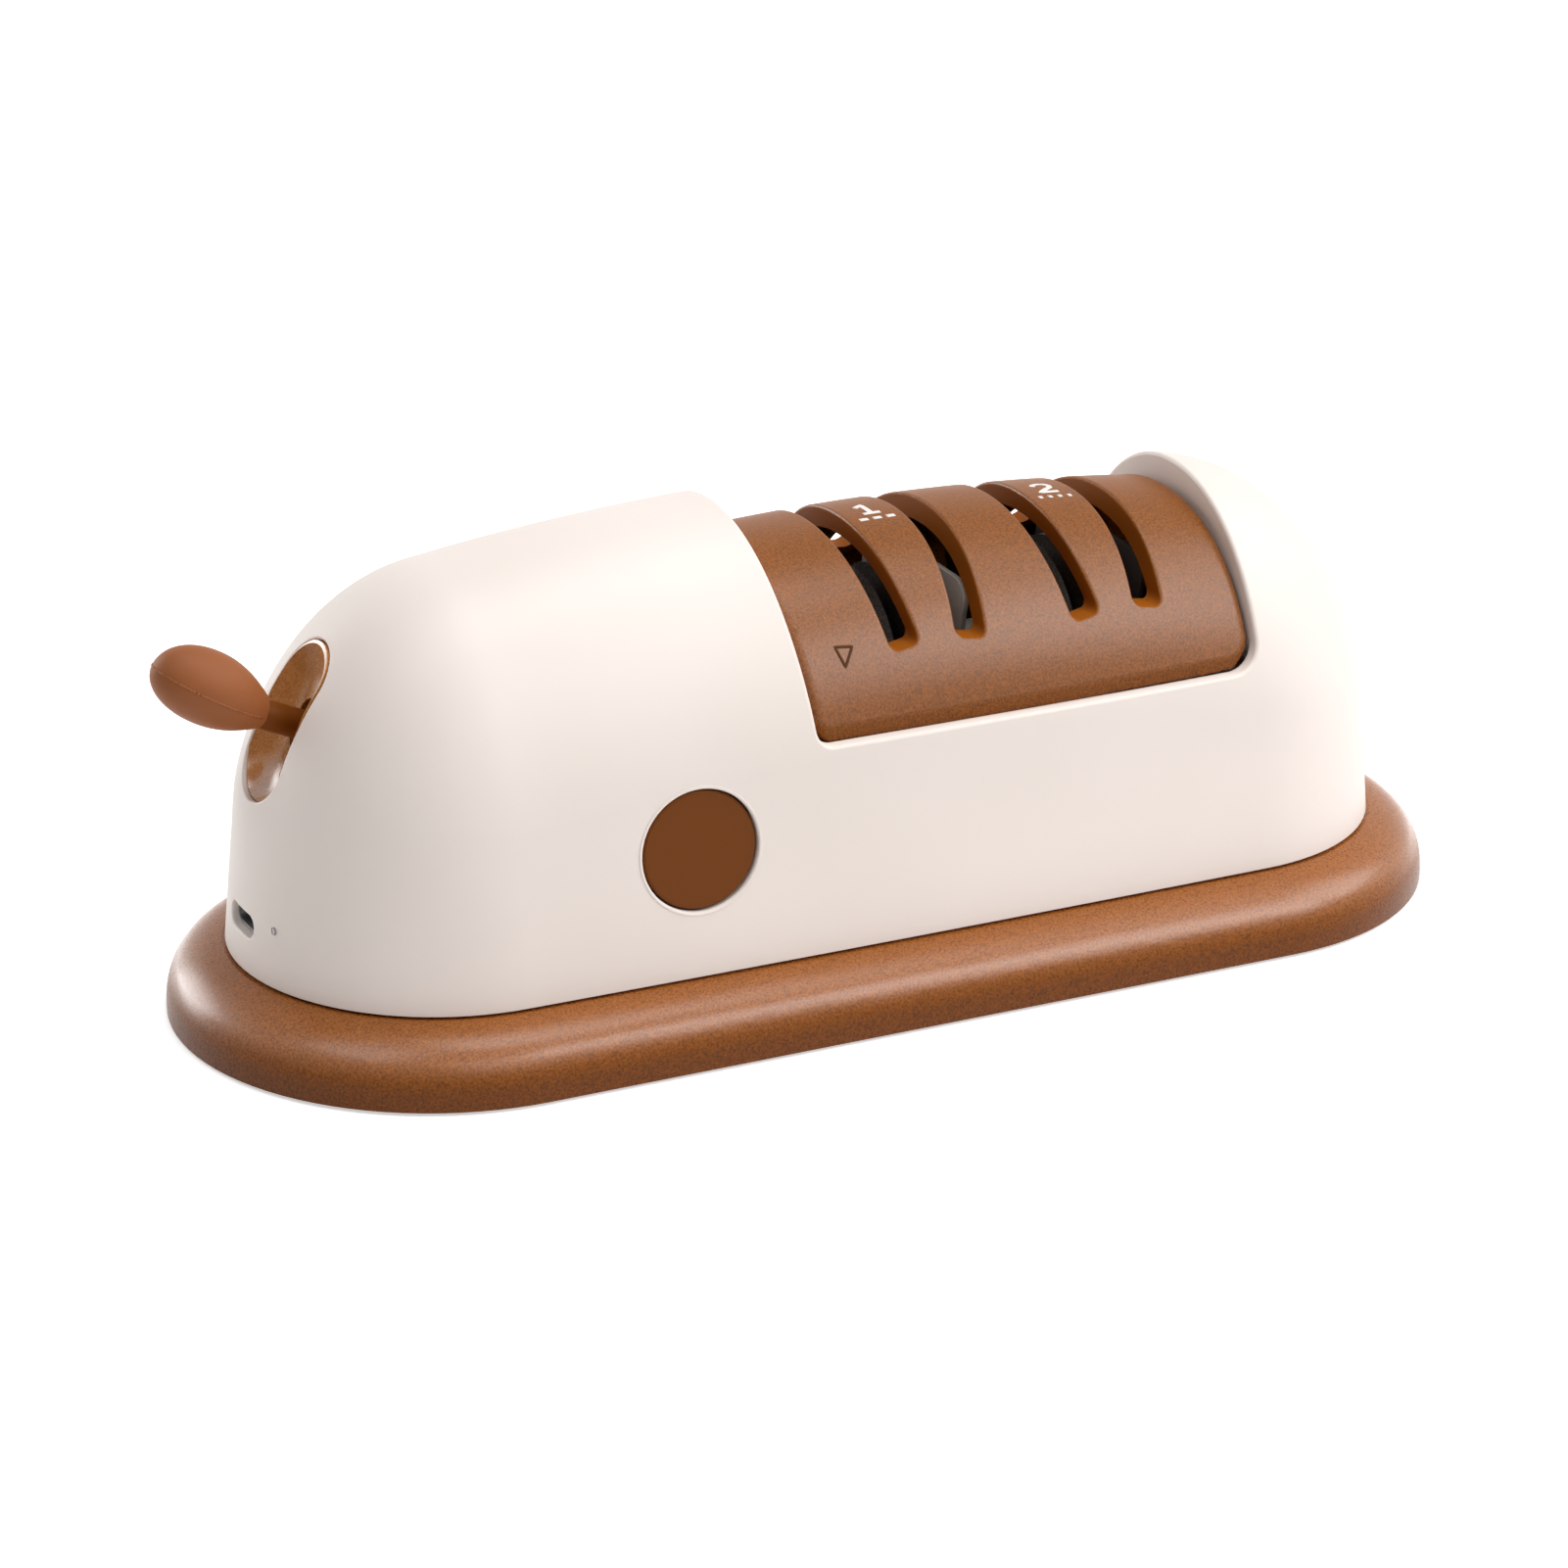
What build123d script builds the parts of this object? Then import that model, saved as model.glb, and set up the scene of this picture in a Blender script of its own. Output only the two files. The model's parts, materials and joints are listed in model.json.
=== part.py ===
"""Electric knife sharpener: a domed housing on a skirt, with a lift-out grinding cartridge.

Frame: X runs along the sharpener, from the head with the lever (-X) to the tail (+X).
The start button is on the -Y side and Z is up. The origin is the middle of the base, on
the surface that the sharpener stands on. All sizes are in millimetres.
"""

from build123d import *
import math
import os

os.makedirs("parts", exist_ok=True)

# ---------------------------------------------------------------- driving dimensions
# Plan: a stadium. Each rounded end is turned about its own vertical axis.
END_X = 66.0  # the axes of the two ends stand at x = -END_X and x = +END_X
SKIRT_R = 44.0  # outer radius of the skirt's ends, and half its width
SKIRT_LOW_Z = 0.6  # lower rim of the skirt; only the feet touch the table
SKIRT_WALL = 2.6
LIP_T = 1.6  # wall of the skirt's lip, which stands inside the housing's foot
FOOT_Z = 12.4  # the housing stands on the skirt at this height
RUNNING_GAP = 0.3  # between pieces that move past each other
SEAT_GAP = 0.2  # between fixed pieces that slip together
SHAFT_FIT = 0.04  # radial clearance of a shaft in its bush

# Housing: an arch swept along a gently curved crown, with domed ends
CROWN_HEAD_Z = 73.4  # crown height over the head's axis
CROWN_MID_Z = 78.0  # crown height at the middle
CROWN_TAIL_Z = 72.7  # crown height over the tail's axis
ARCH_RISE = 33.2  # height of the rounded part of the arch
SHOULDER_W = 32.3  # half width where the rounded part starts
SIDE_H = 36.0  # height of the drafted side below the shoulder
DRAFT = math.tan(math.radians(5.08))  # the sides lean in by this much per millimetre
SIDE_PULL = 0.325  # how long the arch keeps the direction of its side
TOP_PULL = 0.675  # how far the crown stays flat
WALL = 2.2

# Recess for the cartridge
LEDGE_Z = 45.8  # the recess is open above this height
CUT_X = -14.8  # its head end at the ledge
CUT_LEAN = 0.117  # the head end leans back by this much per millimetre of height
TAIL_X = 65.2  # its tail end, which is upright
BULKHEAD = 2.4
BULKHEAD_LOW_Z = 22.5
RIM_ROUND = 0.6  # rounding all round the recess's edge
HOLE_LIP_ROUND = 0.4  # rounding of the holes for the button, the dish and the socket
RECESS_HEAD_R = 3.0  # its lower corners at the head end and at the tail end
RECESS_TAIL_R = 5.0

# Cartridge
CART_GAP = 0.4  # between the cartridge and the head end of its recess
CART_TAIL_GAP = 0.4  # between the cartridge and the tail end of its recess
CART_W = 30.8  # half width at the shoulder
CART_HEAD_Z = 64.5  # its crown line, over the same three places as the housing's
CART_MID_Z = 71.7
CART_TAIL_Z = 68.4
CART_RISE = 27.5  # height of the rounded part of its arch
CART_TOP_PULL = 0.72
CART_WALL = 2.2
TRAY_GAP = 0.9  # between the flange of its tray and the housing's wall
CART_END_ROUND = 2.0
PAIR_X = (8.9, 41.5)  # middle of the coarse and of the fine pair of slots
SLOT_W = 5.1
SLOT_FLOOR_Z = 57.7
SLOT_HALF_PITCH = 5.75  # from a pair's middle to each slot's middle, at the slot floor
SLOT_LEAN = 8.2  # degrees from upright
SLOT_CORNER_R = 1.4
SLOT_LIP_ROUND = 0.5
COLLAR_WALL = 1.5  # wall of the collar round each slot
COLLAR_DEPTH = 3.6

# Grinding shaft
SHAFT_Z = 46.0
SHAFT_R = 2.5
WHEEL_R = 16.0
WHEEL_T = 3.0
WHEEL_FACE = 4.4  # from a pair's middle to the outer face of each wheel
TROUGH_R = 18.8  # inside of the cartridge's trough
TROUGH_WALL = 1.8
SHAFT_FRONT_X = -10.4
SHAFT_REAR_X = 58.2
DOG_R = 4.5
DOG_FRONT_X = -13.9
TONGUE_T = 2.0
TONGUE_H = 7.6
TONGUE_L = 3.8
BUSH_R = 4.0
BUSH_L = 3.5
BUSH_X = (-4.75, 56.0)  # middles of the two bushes
SADDLE_T = 3.0
SADDLE_TOP_Z = 50.0

# Motor
MOTOR_R = 13.8
MOTOR_FRONT_X = -25.5
MOTOR_L = 36.0
MOTOR_SHAFT_R = 1.6
MOTOR_PLATE_T = 1.5
MOTOR_SCREW_Z = 8.0  # from the motor's axis to each of its screws
PLATE_SCREW_Y = 17.5  # from the motor's axis to each screw of its plate

# Start button
BUTTON_X = -35.8
BUTTON_Z = 32.8
BUTTON_R = 9.6
BUTTON_TRAVEL = 1.5
BUTTON_SINK = 0.35  # its face lies this much below the housing's side

# Lever
LEVER_TILT = 24.4  # the stem rises by this angle towards the head
DISH_X, DISH_Z = -90.4, 51.5  # middle of the dish's rim
DISH_L, DISH_W = 26.8, 13.4
PIVOT_DEPTH = 9.4  # from the rim's middle down to the lever's pin
DRUM_R = 5.0
DRUM_W = 9.6
STEM_R = 2.4
LEAF_START = 14.8  # from the pin to the foot of the leaf
LEAF_L = 19.4
LEAF_HIGH = 6.3  # half height above the leaf's seam
LEAF_LOW = 5.4  # half height below it
LEAF_HALF_W = 6.7
LEAF_TILT = 31.0
PIN_R = 1.25
FORK_REACH = 9.0  # from the pin to the switch's slider
FORK_GAP = 3.2

# Socket and battery
SOCKET_Z = 19.8
SOCKET_W, SOCKET_H, SOCKET_L = 8.94, 3.2, 7.4
CELL_R, CELL_L = 9.1, 65.0
CELL_X = -6.0
PLATE_LOW_Z = 0.9
PLATE_T = 2.2
BOSS_X, BOSS_Y = 54.0, 24.0
SCREW_R = 1.5
PAD_R = 7.0
PAD_X, PAD_Y = 66.0, 30.0
PAD_SINK = 0.6
REVEAL = 0.5  # height of the shadow groove under the housing

PLATE_TOP_Z = PLATE_LOW_Z + PLATE_T
PLATE_R = SKIRT_R - SKIRT_WALL - SEAT_GAP
HOUSING_CROWN = (CROWN_HEAD_Z, CROWN_MID_Z, CROWN_TAIL_Z)
CART_CROWN = (CART_HEAD_Z, CART_MID_Z, CART_TAIL_Z)
SHOULDER_Z = CROWN_HEAD_Z - ARCH_RISE
FOOT_R = SHOULDER_W + DRAFT * (SHOULDER_Z - FOOT_Z)  # half width of the housing's foot
HEAD_TIP_X = -END_X - SHOULDER_W - DRAFT * SIDE_H  # just in front of the housing's head
HEAD_AXIS = Axis((-END_X, 0, 0), (0, 0, 1))
TAIL_AXIS = Axis((END_X, 0, 0), (0, 0, -1))


def save(part, name):
    """Label a finished piece and write its STEP file."""
    part.label = name
    export_step(part, f"parts/{name}.step")


# ---------------------------------------------------------------- shared forms
def arch_face(half_width, crown, shoulder, top_pull, both_sides=True):
    """The arch over the head's axis, between the heights of its shoulder and its crown."""
    pull = (crown - shoulder) * SIDE_PULL
    foot = (half_width + DRAFT * SIDE_H, shoulder - SIDE_H)
    with BuildSketch(Plane.YZ.offset(-END_X)) as section:
        with BuildLine():
            Bezier(
                (half_width, shoulder),
                (half_width - DRAFT * pull, shoulder + pull),
                (half_width * top_pull, crown),
                (0, crown),
            )
            Line((half_width, shoulder), foot)
            Line(foot, (0, shoulder - SIDE_H))
            Line((0, shoulder - SIDE_H), (0, crown))
        make_face()
        if both_sides:
            mirror(about=Plane.YZ)
    return section.sketch


def vault(half_width, drop, crown_z=HOUSING_CROWN, rise=ARCH_RISE, top_pull=TOP_PULL):
    """The arch carried along a crown line, from one end's axis to the other's."""
    head_z, mid_z, tail_z = crown_z
    with BuildLine(Plane.XZ) as crown_line:
        ThreePointArc((-END_X, head_z - drop), (0, mid_z - drop), (END_X, tail_z - drop))
    path = crown_line.wires()[0]
    section = arch_face(half_width, head_z - drop, head_z - rise, top_pull)
    with BuildPart() as body:
        sweep(sections=section, path=path, normal=(1, 0, 0))
    return body.part, path


def cart_vault(inset):
    """The arch of the cartridge, made smaller all round by inset."""
    return vault(CART_W - inset, inset, CART_CROWN, CART_RISE, CART_TOP_PULL)[0]


def dome(half_width, drop, axis, slope, rise):
    """The arch turned half round its axis, then sheared to follow the crown's slope."""
    half = arch_face(half_width, CROWN_HEAD_Z - drop, SHOULDER_Z, TOP_PULL, both_sides=False)
    with BuildPart() as body:
        add(half.moved(Location((axis.position.X + END_X, 0, rise))))
        revolve(axis=axis, revolution_arc=180)
    shear = Matrix(
        [[1, 0, 0, 0], [0, 1, 0, 0], [slope, 0, 1, -slope * axis.position.X], [0, 0, 0, 1]]
    )
    return body.part.transform_geometry(shear)


def domed_form(half_width, drop):
    """The whole outside of the housing, or its inside when made smaller by the wall."""
    middle, path = vault(half_width, drop)
    head_slope = (path % 0).Z / (path % 0).X
    tail_slope = (path % 1).Z / (path % 1).X
    head = dome(half_width, drop, HEAD_AXIS, head_slope, 0)
    tail = dome(half_width, drop, TAIL_AXIS, tail_slope, CROWN_TAIL_Z - CROWN_HEAD_Z)
    with BuildPart() as form:
        add(middle)
        add(head)
        add(tail)
    return form.part


def run_round(section):
    """Carry a section, drawn over the head's axis, once round the stadium."""
    with BuildPart() as ring:
        extrude(section, amount=2 * END_X)
        mirror(about=Plane.XZ)
        revolve(section, axis=HEAD_AXIS, revolution_arc=180)
        revolve(section.moved(Location((2 * END_X, 0, 0))), axis=TAIL_AXIS, revolution_arc=180)
    return ring.part


def head_face_x(z):
    """Where the head end of the recess stands at height z."""
    return CUT_X - CUT_LEAN * (z - LEDGE_Z)


def side_profile(points, half_depth=60.0):
    """A prism with the given outline in the XZ plane, centred on Y."""
    with BuildPart() as prism:
        with BuildSketch(Plane.XZ):
            with BuildLine():
                Polyline(*points, close=True)
            make_face()
        extrude(amount=half_depth, both=True)
    return prism.part


def x_rod(radius, x_from, x_to, y=0.0, z=SHAFT_Z):
    """A round bar along X."""
    with BuildPart() as rod:
        with BuildSketch(Plane.YZ.offset(x_from)):
            with Locations((y, z)):
                Circle(radius)
        extrude(amount=x_to - x_from)
    return rod.part


def slot_middle_x(pair_x, side, z):
    """Middle of a slot at height z; side is -1 for the head side and +1 for the tail side."""
    return pair_x + side * (SLOT_HALF_PITCH + math.tan(math.radians(SLOT_LEAN)) * (z - SLOT_FLOOR_Z))


SLOTS = [(pair_x, side) for pair_x in PAIR_X for side in (-1, 1)]
HOUSING_TOP_Z = CROWN_MID_Z + 12

outer_form = domed_form(SHOULDER_W, 0)
inner_form = domed_form(SHOULDER_W - WALL, WALL)

# ---------------------------------------------------------------- base
with BuildSketch(Plane.YZ.offset(-END_X)) as skirt_section:
    plateau_r = FOOT_R + 0.13
    lip_r = FOOT_R - WALL - 0.87
    lip_in = lip_r - LIP_T
    under_r = FOOT_R - 0.77
    under_z = FOOT_Z - 2.5
    inside_r = SKIRT_R - SKIRT_WALL - 1.4
    groove_r = plateau_r - 1.5
    with BuildLine():
        Line((SKIRT_R, SKIRT_LOW_Z), (SKIRT_R, 1.6))
        Bezier(
            (SKIRT_R, 1.6),
            (SKIRT_R, 7.2),
            (plateau_r + 0.7 * (SKIRT_R - plateau_r), 10.4),
            (plateau_r, FOOT_Z - REVEAL),
        )
        Polyline(
            (plateau_r, FOOT_Z - REVEAL),
            (groove_r, FOOT_Z - REVEAL),
            (groove_r, FOOT_Z),
            (lip_r, FOOT_Z),
            (lip_r, FOOT_Z + SKIRT_WALL),
            (lip_in, FOOT_Z + SKIRT_WALL),
            (lip_in, under_z),
            (under_r, under_z),
        )
        Bezier(
            (under_r, under_z),
            (under_r + 0.7 * (inside_r - under_r), under_z),
            (inside_r, 7.2),
            (inside_r, PLATE_TOP_Z),
        )
        Polyline(
            (inside_r, PLATE_TOP_Z),
            (SKIRT_R - SKIRT_WALL, PLATE_TOP_Z),
            (SKIRT_R - SKIRT_WALL, SKIRT_LOW_Z),
            (SKIRT_R, SKIRT_LOW_Z),
        )
    make_face()
save(run_round(skirt_section.sketch), "base_skirt")

STANDOFFS = [(x, y) for x in (-90.0, -76.0) for y in (-7.0, 7.0)]
BOARD_T = 1.6
BOARD_TOP_Z = SOCKET_Z - SOCKET_H / 2
BOARD_Z = BOARD_TOP_Z - BOARD_T
SCREW_HEAD_R = 2.9
SCREW_HEAD_H = 1.6
SCREW_L = 12.0
BOSS_R = 4.0
BOSS_LOW_Z = PLATE_TOP_Z + 1.0

with BuildPart() as bottom_plate:
    with BuildSketch(Plane.XY.offset(PLATE_LOW_Z)):
        SlotCenterToCenter(2 * END_X, 2 * PLATE_R)
    extrude(amount=PLATE_T)
    with BuildSketch(Plane.XY.offset(PLATE_TOP_Z)):
        with GridLocations(2 * BOSS_X, 2 * BOSS_Y, 2, 2):
            Circle(BOSS_R + 0.6)
    extrude(amount=BOSS_LOW_Z - PLATE_TOP_Z)
    with BuildSketch(Plane.XY.offset(PLATE_TOP_Z)):
        with Locations(*STANDOFFS):
            Circle(2.6)
    extrude(amount=BOARD_Z - PLATE_TOP_Z)
    with BuildSketch(Plane.XY.offset(PLATE_TOP_Z)):
        with Locations((0, 32.0), (0, -32.0)):
            Rectangle(2 * END_X, 1.4)
        with Locations((-20.0, 0), (66.0, 0)):
            Rectangle(1.4, 62.6)
    extrude(amount=2.0)
    with BuildSketch(Plane.XY.offset(PLATE_LOW_Z)):
        with GridLocations(2 * BOSS_X, 2 * BOSS_Y, 2, 2):
            Circle(SCREW_R + 0.15)
    extrude(amount=6.0, mode=Mode.SUBTRACT)
    with BuildSketch(Plane.XY.offset(PLATE_LOW_Z)):
        with GridLocations(2 * BOSS_X, 2 * BOSS_Y, 2, 2):
            Circle(SCREW_HEAD_R + 0.3)
    extrude(amount=SCREW_HEAD_H + 0.1, mode=Mode.SUBTRACT)
    with BuildSketch(Plane.XY.offset(BOARD_Z)):
        with Locations(*STANDOFFS):
            Circle(0.95)
    extrude(amount=-8.0, mode=Mode.SUBTRACT)
    with BuildSketch(Plane.XY.offset(PLATE_LOW_Z)):
        with GridLocations(2 * PAD_X, 2 * PAD_Y, 2, 2):
            Circle(PAD_R + SEAT_GAP)
    extrude(amount=PAD_SINK, mode=Mode.SUBTRACT)
save(bottom_plate.part, "bottom_plate")

with BuildPart() as rubber_feet:
    with BuildSketch(Plane.XY):
        with GridLocations(2 * PAD_X, 2 * PAD_Y, 2, 2):
            Circle(PAD_R)
    extrude(amount=PLATE_LOW_Z + PAD_SINK)
    fillet(rubber_feet.edges().group_by(Axis.Z)[0], 0.4)
save(rubber_feet.part, "rubber_feet")

with BuildPart() as bottom_screws:
    with BuildSketch(Plane.XY.offset(PLATE_LOW_Z + 0.1)):
        with GridLocations(2 * BOSS_X, 2 * BOSS_Y, 2, 2):
            Circle(SCREW_HEAD_R)
    extrude(amount=SCREW_HEAD_H)
    with BuildSketch(Plane.XY.offset(PLATE_LOW_Z + 0.1)):
        with GridLocations(2 * BOSS_X, 2 * BOSS_Y, 2, 2):
            Circle(SCREW_R)
    extrude(amount=SCREW_L)
    with BuildSketch(Plane.XY.offset(PLATE_LOW_Z + 0.1)):
        with GridLocations(2 * BOSS_X, 2 * BOSS_Y, 2, 2):
            Rectangle(3.2, 0.8)
            Rectangle(0.8, 3.2)
    extrude(amount=0.8, mode=Mode.SUBTRACT)
save(bottom_screws.part, "bottom_screws")

# ---------------------------------------------------------------- housing
# The lever's frame: its local x runs up the dish, its local z out of the head.
lever_out = Vector(-math.cos(math.radians(LEVER_TILT)), 0, math.sin(math.radians(LEVER_TILT)))
dish_up = Vector(math.sin(math.radians(LEVER_TILT)), 0, math.cos(math.radians(LEVER_TILT)))
dish_plane = Plane(origin=(DISH_X, 0, DISH_Z), x_dir=dish_up, z_dir=lever_out)
pivot = Vector(DISH_X, 0, DISH_Z) - lever_out * PIVOT_DEPTH

COLLAR_IN_R = BUTTON_R + RUNNING_GAP
COLLAR_OUT_R = COLLAR_IN_R + 1.7
COLLAR_END_Y = -27.6
WELL_REST_Z = 42.6
WELL_T = 1.6
WELL_R = 21.3
WELL_HALF_W = 29.2
WELL_REST_X = (2.0, 50.0)
LED_Y, LED_Z = -10.3, 21.6
LED_R = 0.6
COUPLING_HOLE_R = DOG_R + 0.8


def between_ends(head_gap, tail_gap, low_z, high_z, rounded=False):
    """What stands between the ends of the recess, with gaps to them."""
    block = side_profile(
        [
            (head_face_x(low_z) + head_gap, low_z),
            (head_face_x(high_z) + head_gap, high_z),
            (TAIL_X - tail_gap, high_z),
            (TAIL_X - tail_gap, low_z),
        ]
    )
    if rounded:
        low_edges = block.edges().filter_by(Axis.Y).sort_by(Axis.Z)[:2].sort_by(Axis.X)
        block = fillet(low_edges[:1], RECESS_HEAD_R - head_gap)
        low_edges = block.edges().filter_by(Axis.Y).sort_by(Axis.Z)[:3].sort_by(Axis.X)
        block = fillet(low_edges[-1:], RECESS_TAIL_R - tail_gap)
    return block


def on_outside(edges):
    """The edges that run along the housing's outside."""
    skin = outer_form.shells()[0]
    return edges.filter_by(lambda edge: skin.distance_to(Vertex(edge @ 0.5)) < 0.01)


recess = between_ends(0, 0, LEDGE_Z, HOUSING_TOP_Z, rounded=True)

with BuildPart() as bulkheads:
    add(between_ends(-BULKHEAD, -BULKHEAD, BULKHEAD_LOW_Z, HOUSING_TOP_Z))
    add(between_ends(0, 0, BULKHEAD_LOW_Z, HOUSING_TOP_Z), mode=Mode.SUBTRACT)
    add(outer_form, mode=Mode.INTERSECT)

with BuildPart() as button_collar:
    with BuildSketch(Plane.XZ.offset(-COLLAR_END_Y)):
        with Locations((BUTTON_X, BUTTON_Z)):
            Circle(COLLAR_OUT_R)
    extrude(amount=10)
    add(outer_form, mode=Mode.INTERSECT)

with BuildPart() as inner_posts:
    # posts over the bottom screws, tied to the side walls
    with BuildSketch(Plane.XY.offset(BOSS_LOW_Z)):
        with GridLocations(2 * BOSS_X, 2 * BOSS_Y, 2, 2):
            Circle(BOSS_R)
    extrude(amount=26.0 - BOSS_LOW_Z)
    with BuildSketch(Plane.XY.offset(16.0)):
        with GridLocations(2 * BOSS_X, 2 * (BOSS_Y + 5.5), 2, 2):
            Rectangle(2.0, 11.0)
    extrude(amount=10.0)
    # rests for the well under the cartridge
    with BuildSketch(Plane.XY.offset(WELL_REST_Z)):
        for rest_x in WELL_REST_X:
            with Locations((rest_x, 30.0), (rest_x, -30.0)):
                Rectangle(6.0, 5.0)
    extrude(amount=-4.0)
    # posts for the motor's plate
    with BuildSketch(Plane.YZ.offset(MOTOR_FRONT_X + MOTOR_PLATE_T)):
        with Locations((PLATE_SCREW_Y, SHAFT_Z), (-PLATE_SCREW_Y, SHAFT_Z)):
            Circle(3.5)
    extrude(amount=8.0)
    add(outer_form, mode=Mode.INTERSECT)

with BuildPart() as wall_form:
    add(outer_form)
    add(inner_form, mode=Mode.SUBTRACT)
    add(bulkheads.part)
    add(recess, mode=Mode.SUBTRACT)
    split(bisect_by=Plane.XY.offset(FOOT_Z), keep=Keep.TOP)
    rims = wall_form.edges().filter_by_position(Axis.Z, LEDGE_Z - 0.1, LEDGE_Z + 0.1)
    fillet(rims.filter_by(GeomType.BSPLINE).sort_by(Axis.Y)[:1], RIM_ROUND)

with BuildPart() as housing_shell:
    add(wall_form.part)
    add(button_collar.part)
    add(inner_posts.part)
    # button
    with BuildSketch(Plane.XZ.offset(-COLLAR_END_Y)):
        with Locations((BUTTON_X, BUTTON_Z)):
            Circle(COLLAR_IN_R)
    extrude(amount=12, mode=Mode.SUBTRACT)
    fillet(on_outside(housing_shell.edges(Select.LAST)), HOLE_LIP_ROUND)
    # dish, charging socket and charge light in the head
    with BuildSketch(dish_plane.offset(-5)):
        SlotOverall(DISH_L + 2 * SEAT_GAP, DISH_W + 2 * SEAT_GAP)
    extrude(amount=12, mode=Mode.SUBTRACT)
    fillet(on_outside(housing_shell.edges(Select.LAST)), HOLE_LIP_ROUND)
    with BuildSketch(Plane.YZ.offset(HEAD_TIP_X)):
        with Locations((0, SOCKET_Z)):
            RectangleRounded(SOCKET_W + 0.5, SOCKET_H + 0.5, (SOCKET_H + 0.5) / 2 - 0.01)
    extrude(amount=14, mode=Mode.SUBTRACT)
    fillet(on_outside(housing_shell.edges(Select.LAST)), HOLE_LIP_ROUND)
    with BuildSketch(Plane.YZ.offset(HEAD_TIP_X)):
        with Locations((LED_Y, LED_Z)):
            Circle(LED_R + 0.05)
    extrude(amount=14, mode=Mode.SUBTRACT)
    # coupling and the screws of the motor's plate
    with BuildSketch(Plane.YZ.offset(-20)):
        with Locations((0, SHAFT_Z)):
            Circle(COUPLING_HOLE_R)
    extrude(amount=10, mode=Mode.SUBTRACT)
    with BuildSketch(Plane.YZ.offset(MOTOR_FRONT_X)):
        with Locations((PLATE_SCREW_Y, SHAFT_Z), (-PLATE_SCREW_Y, SHAFT_Z)):
            Circle(1.35)
    extrude(amount=8.0, mode=Mode.SUBTRACT)
    with BuildSketch(Plane.XY.offset(BOSS_LOW_Z)):
        with GridLocations(2 * BOSS_X, 2 * BOSS_Y, 2, 2):
            Circle(SCREW_R + 0.04)
    extrude(amount=SCREW_L, mode=Mode.SUBTRACT)
save(housing_shell.part, "housing_shell")

with BuildPart() as well_tray:
    with BuildSketch(Plane.YZ.offset(-20)):
        with Locations((0, SHAFT_Z)):
            Circle(WELL_R + WELL_T)
        with Locations((0, WELL_REST_Z + WELL_T + 30)):
            Rectangle(60, 60, mode=Mode.SUBTRACT)
        with Locations((0, WELL_REST_Z + WELL_T / 2)):
            Rectangle(2 * WELL_HALF_W, WELL_T)
        with Locations((0, SHAFT_Z)):
            Circle(WELL_R, mode=Mode.SUBTRACT)
    extrude(amount=100)
    add(between_ends(SEAT_GAP, SEAT_GAP, BULKHEAD_LOW_Z, LEDGE_Z), mode=Mode.INTERSECT)
save(well_tray.part, "well_tray")

# ---------------------------------------------------------------- start button and its switch
BUTTON_LIP_R = COLLAR_OUT_R - 0.4
BUTTON_BACK_Y = COLLAR_END_Y + RUNNING_GAP
BUTTON_LIP_T = 1.0
BUTTON_HOLLOW_R = 8.0
BUTTON_FACE_T = 2.0
BUTTON_STEM_END_Y = -25.2
PUSH_FRONT_Y = -23.0
PUSH_BACK_Y = -18.5
PLUNGER_R = 1.7
PLUNGER_L = 2.8
PLUNGER_FRONT_Y = BUTTON_STEM_END_Y + RUNNING_GAP
PLUNGER_HOLE_L = PLUNGER_FRONT_Y + PLUNGER_L + BUTTON_TRAVEL + 0.8 - PUSH_FRONT_Y
BRACKET_T = 1.5
button_front_y = -(SHOULDER_W + DRAFT * (CROWN_MID_Z - 1.4 - ARCH_RISE - BUTTON_Z)) + BUTTON_SINK

with BuildPart() as start_button:
    with BuildSketch(Plane.XZ.offset(-BUTTON_BACK_Y)):
        with Locations((BUTTON_X, BUTTON_Z)):
            Circle(BUTTON_R)
    extrude(amount=10)
    add(outer_form.moved(Location((0, BUTTON_SINK, 0))), mode=Mode.INTERSECT)
    fillet(start_button.edges().sort_by(Axis.Y)[:1], 0.5)
    with BuildSketch(Plane.XZ.offset(-BUTTON_BACK_Y)):
        with Locations((BUTTON_X, BUTTON_Z)):
            Circle(BUTTON_LIP_R)
    extrude(amount=-BUTTON_LIP_T)
    with BuildSketch(Plane.XZ.offset(-button_front_y - BUTTON_FACE_T)):
        with Locations((BUTTON_X, BUTTON_Z)):
            Circle(BUTTON_HOLLOW_R)
    extrude(amount=-12, mode=Mode.SUBTRACT)
    with BuildSketch(Plane.XZ.offset(-BUTTON_STEM_END_Y)):
        with Locations((BUTTON_X, BUTTON_Z)):
            Circle(3.0)
    extrude(amount=-button_front_y + BUTTON_STEM_END_Y - 1.0)
save(start_button.part, "start_button")

with BuildPart() as push_switch:
    with BuildSketch(Plane.XZ.offset(-PUSH_BACK_Y)):
        with Locations((BUTTON_X, BUTTON_Z)):
            Rectangle(10.0, 8.0)
    extrude(amount=PUSH_BACK_Y - PUSH_FRONT_Y)
    chamfer(push_switch.faces().sort_by(Axis.Y)[0].edges(), 0.5)
    with BuildSketch(Plane.XZ.offset(-PUSH_FRONT_Y)):
        with Locations((BUTTON_X, BUTTON_Z)):
            Circle(PLUNGER_R + RUNNING_GAP)
    extrude(amount=-PLUNGER_HOLE_L, mode=Mode.SUBTRACT)
save(push_switch.part, "push_switch")

with BuildPart() as push_plunger:
    with BuildSketch(Plane.XZ.offset(-PLUNGER_FRONT_Y)):
        with Locations((BUTTON_X, BUTTON_Z)):
            Circle(PLUNGER_R)
    extrude(amount=-PLUNGER_L)
save(push_plunger.part, "push_plunger")

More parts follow.
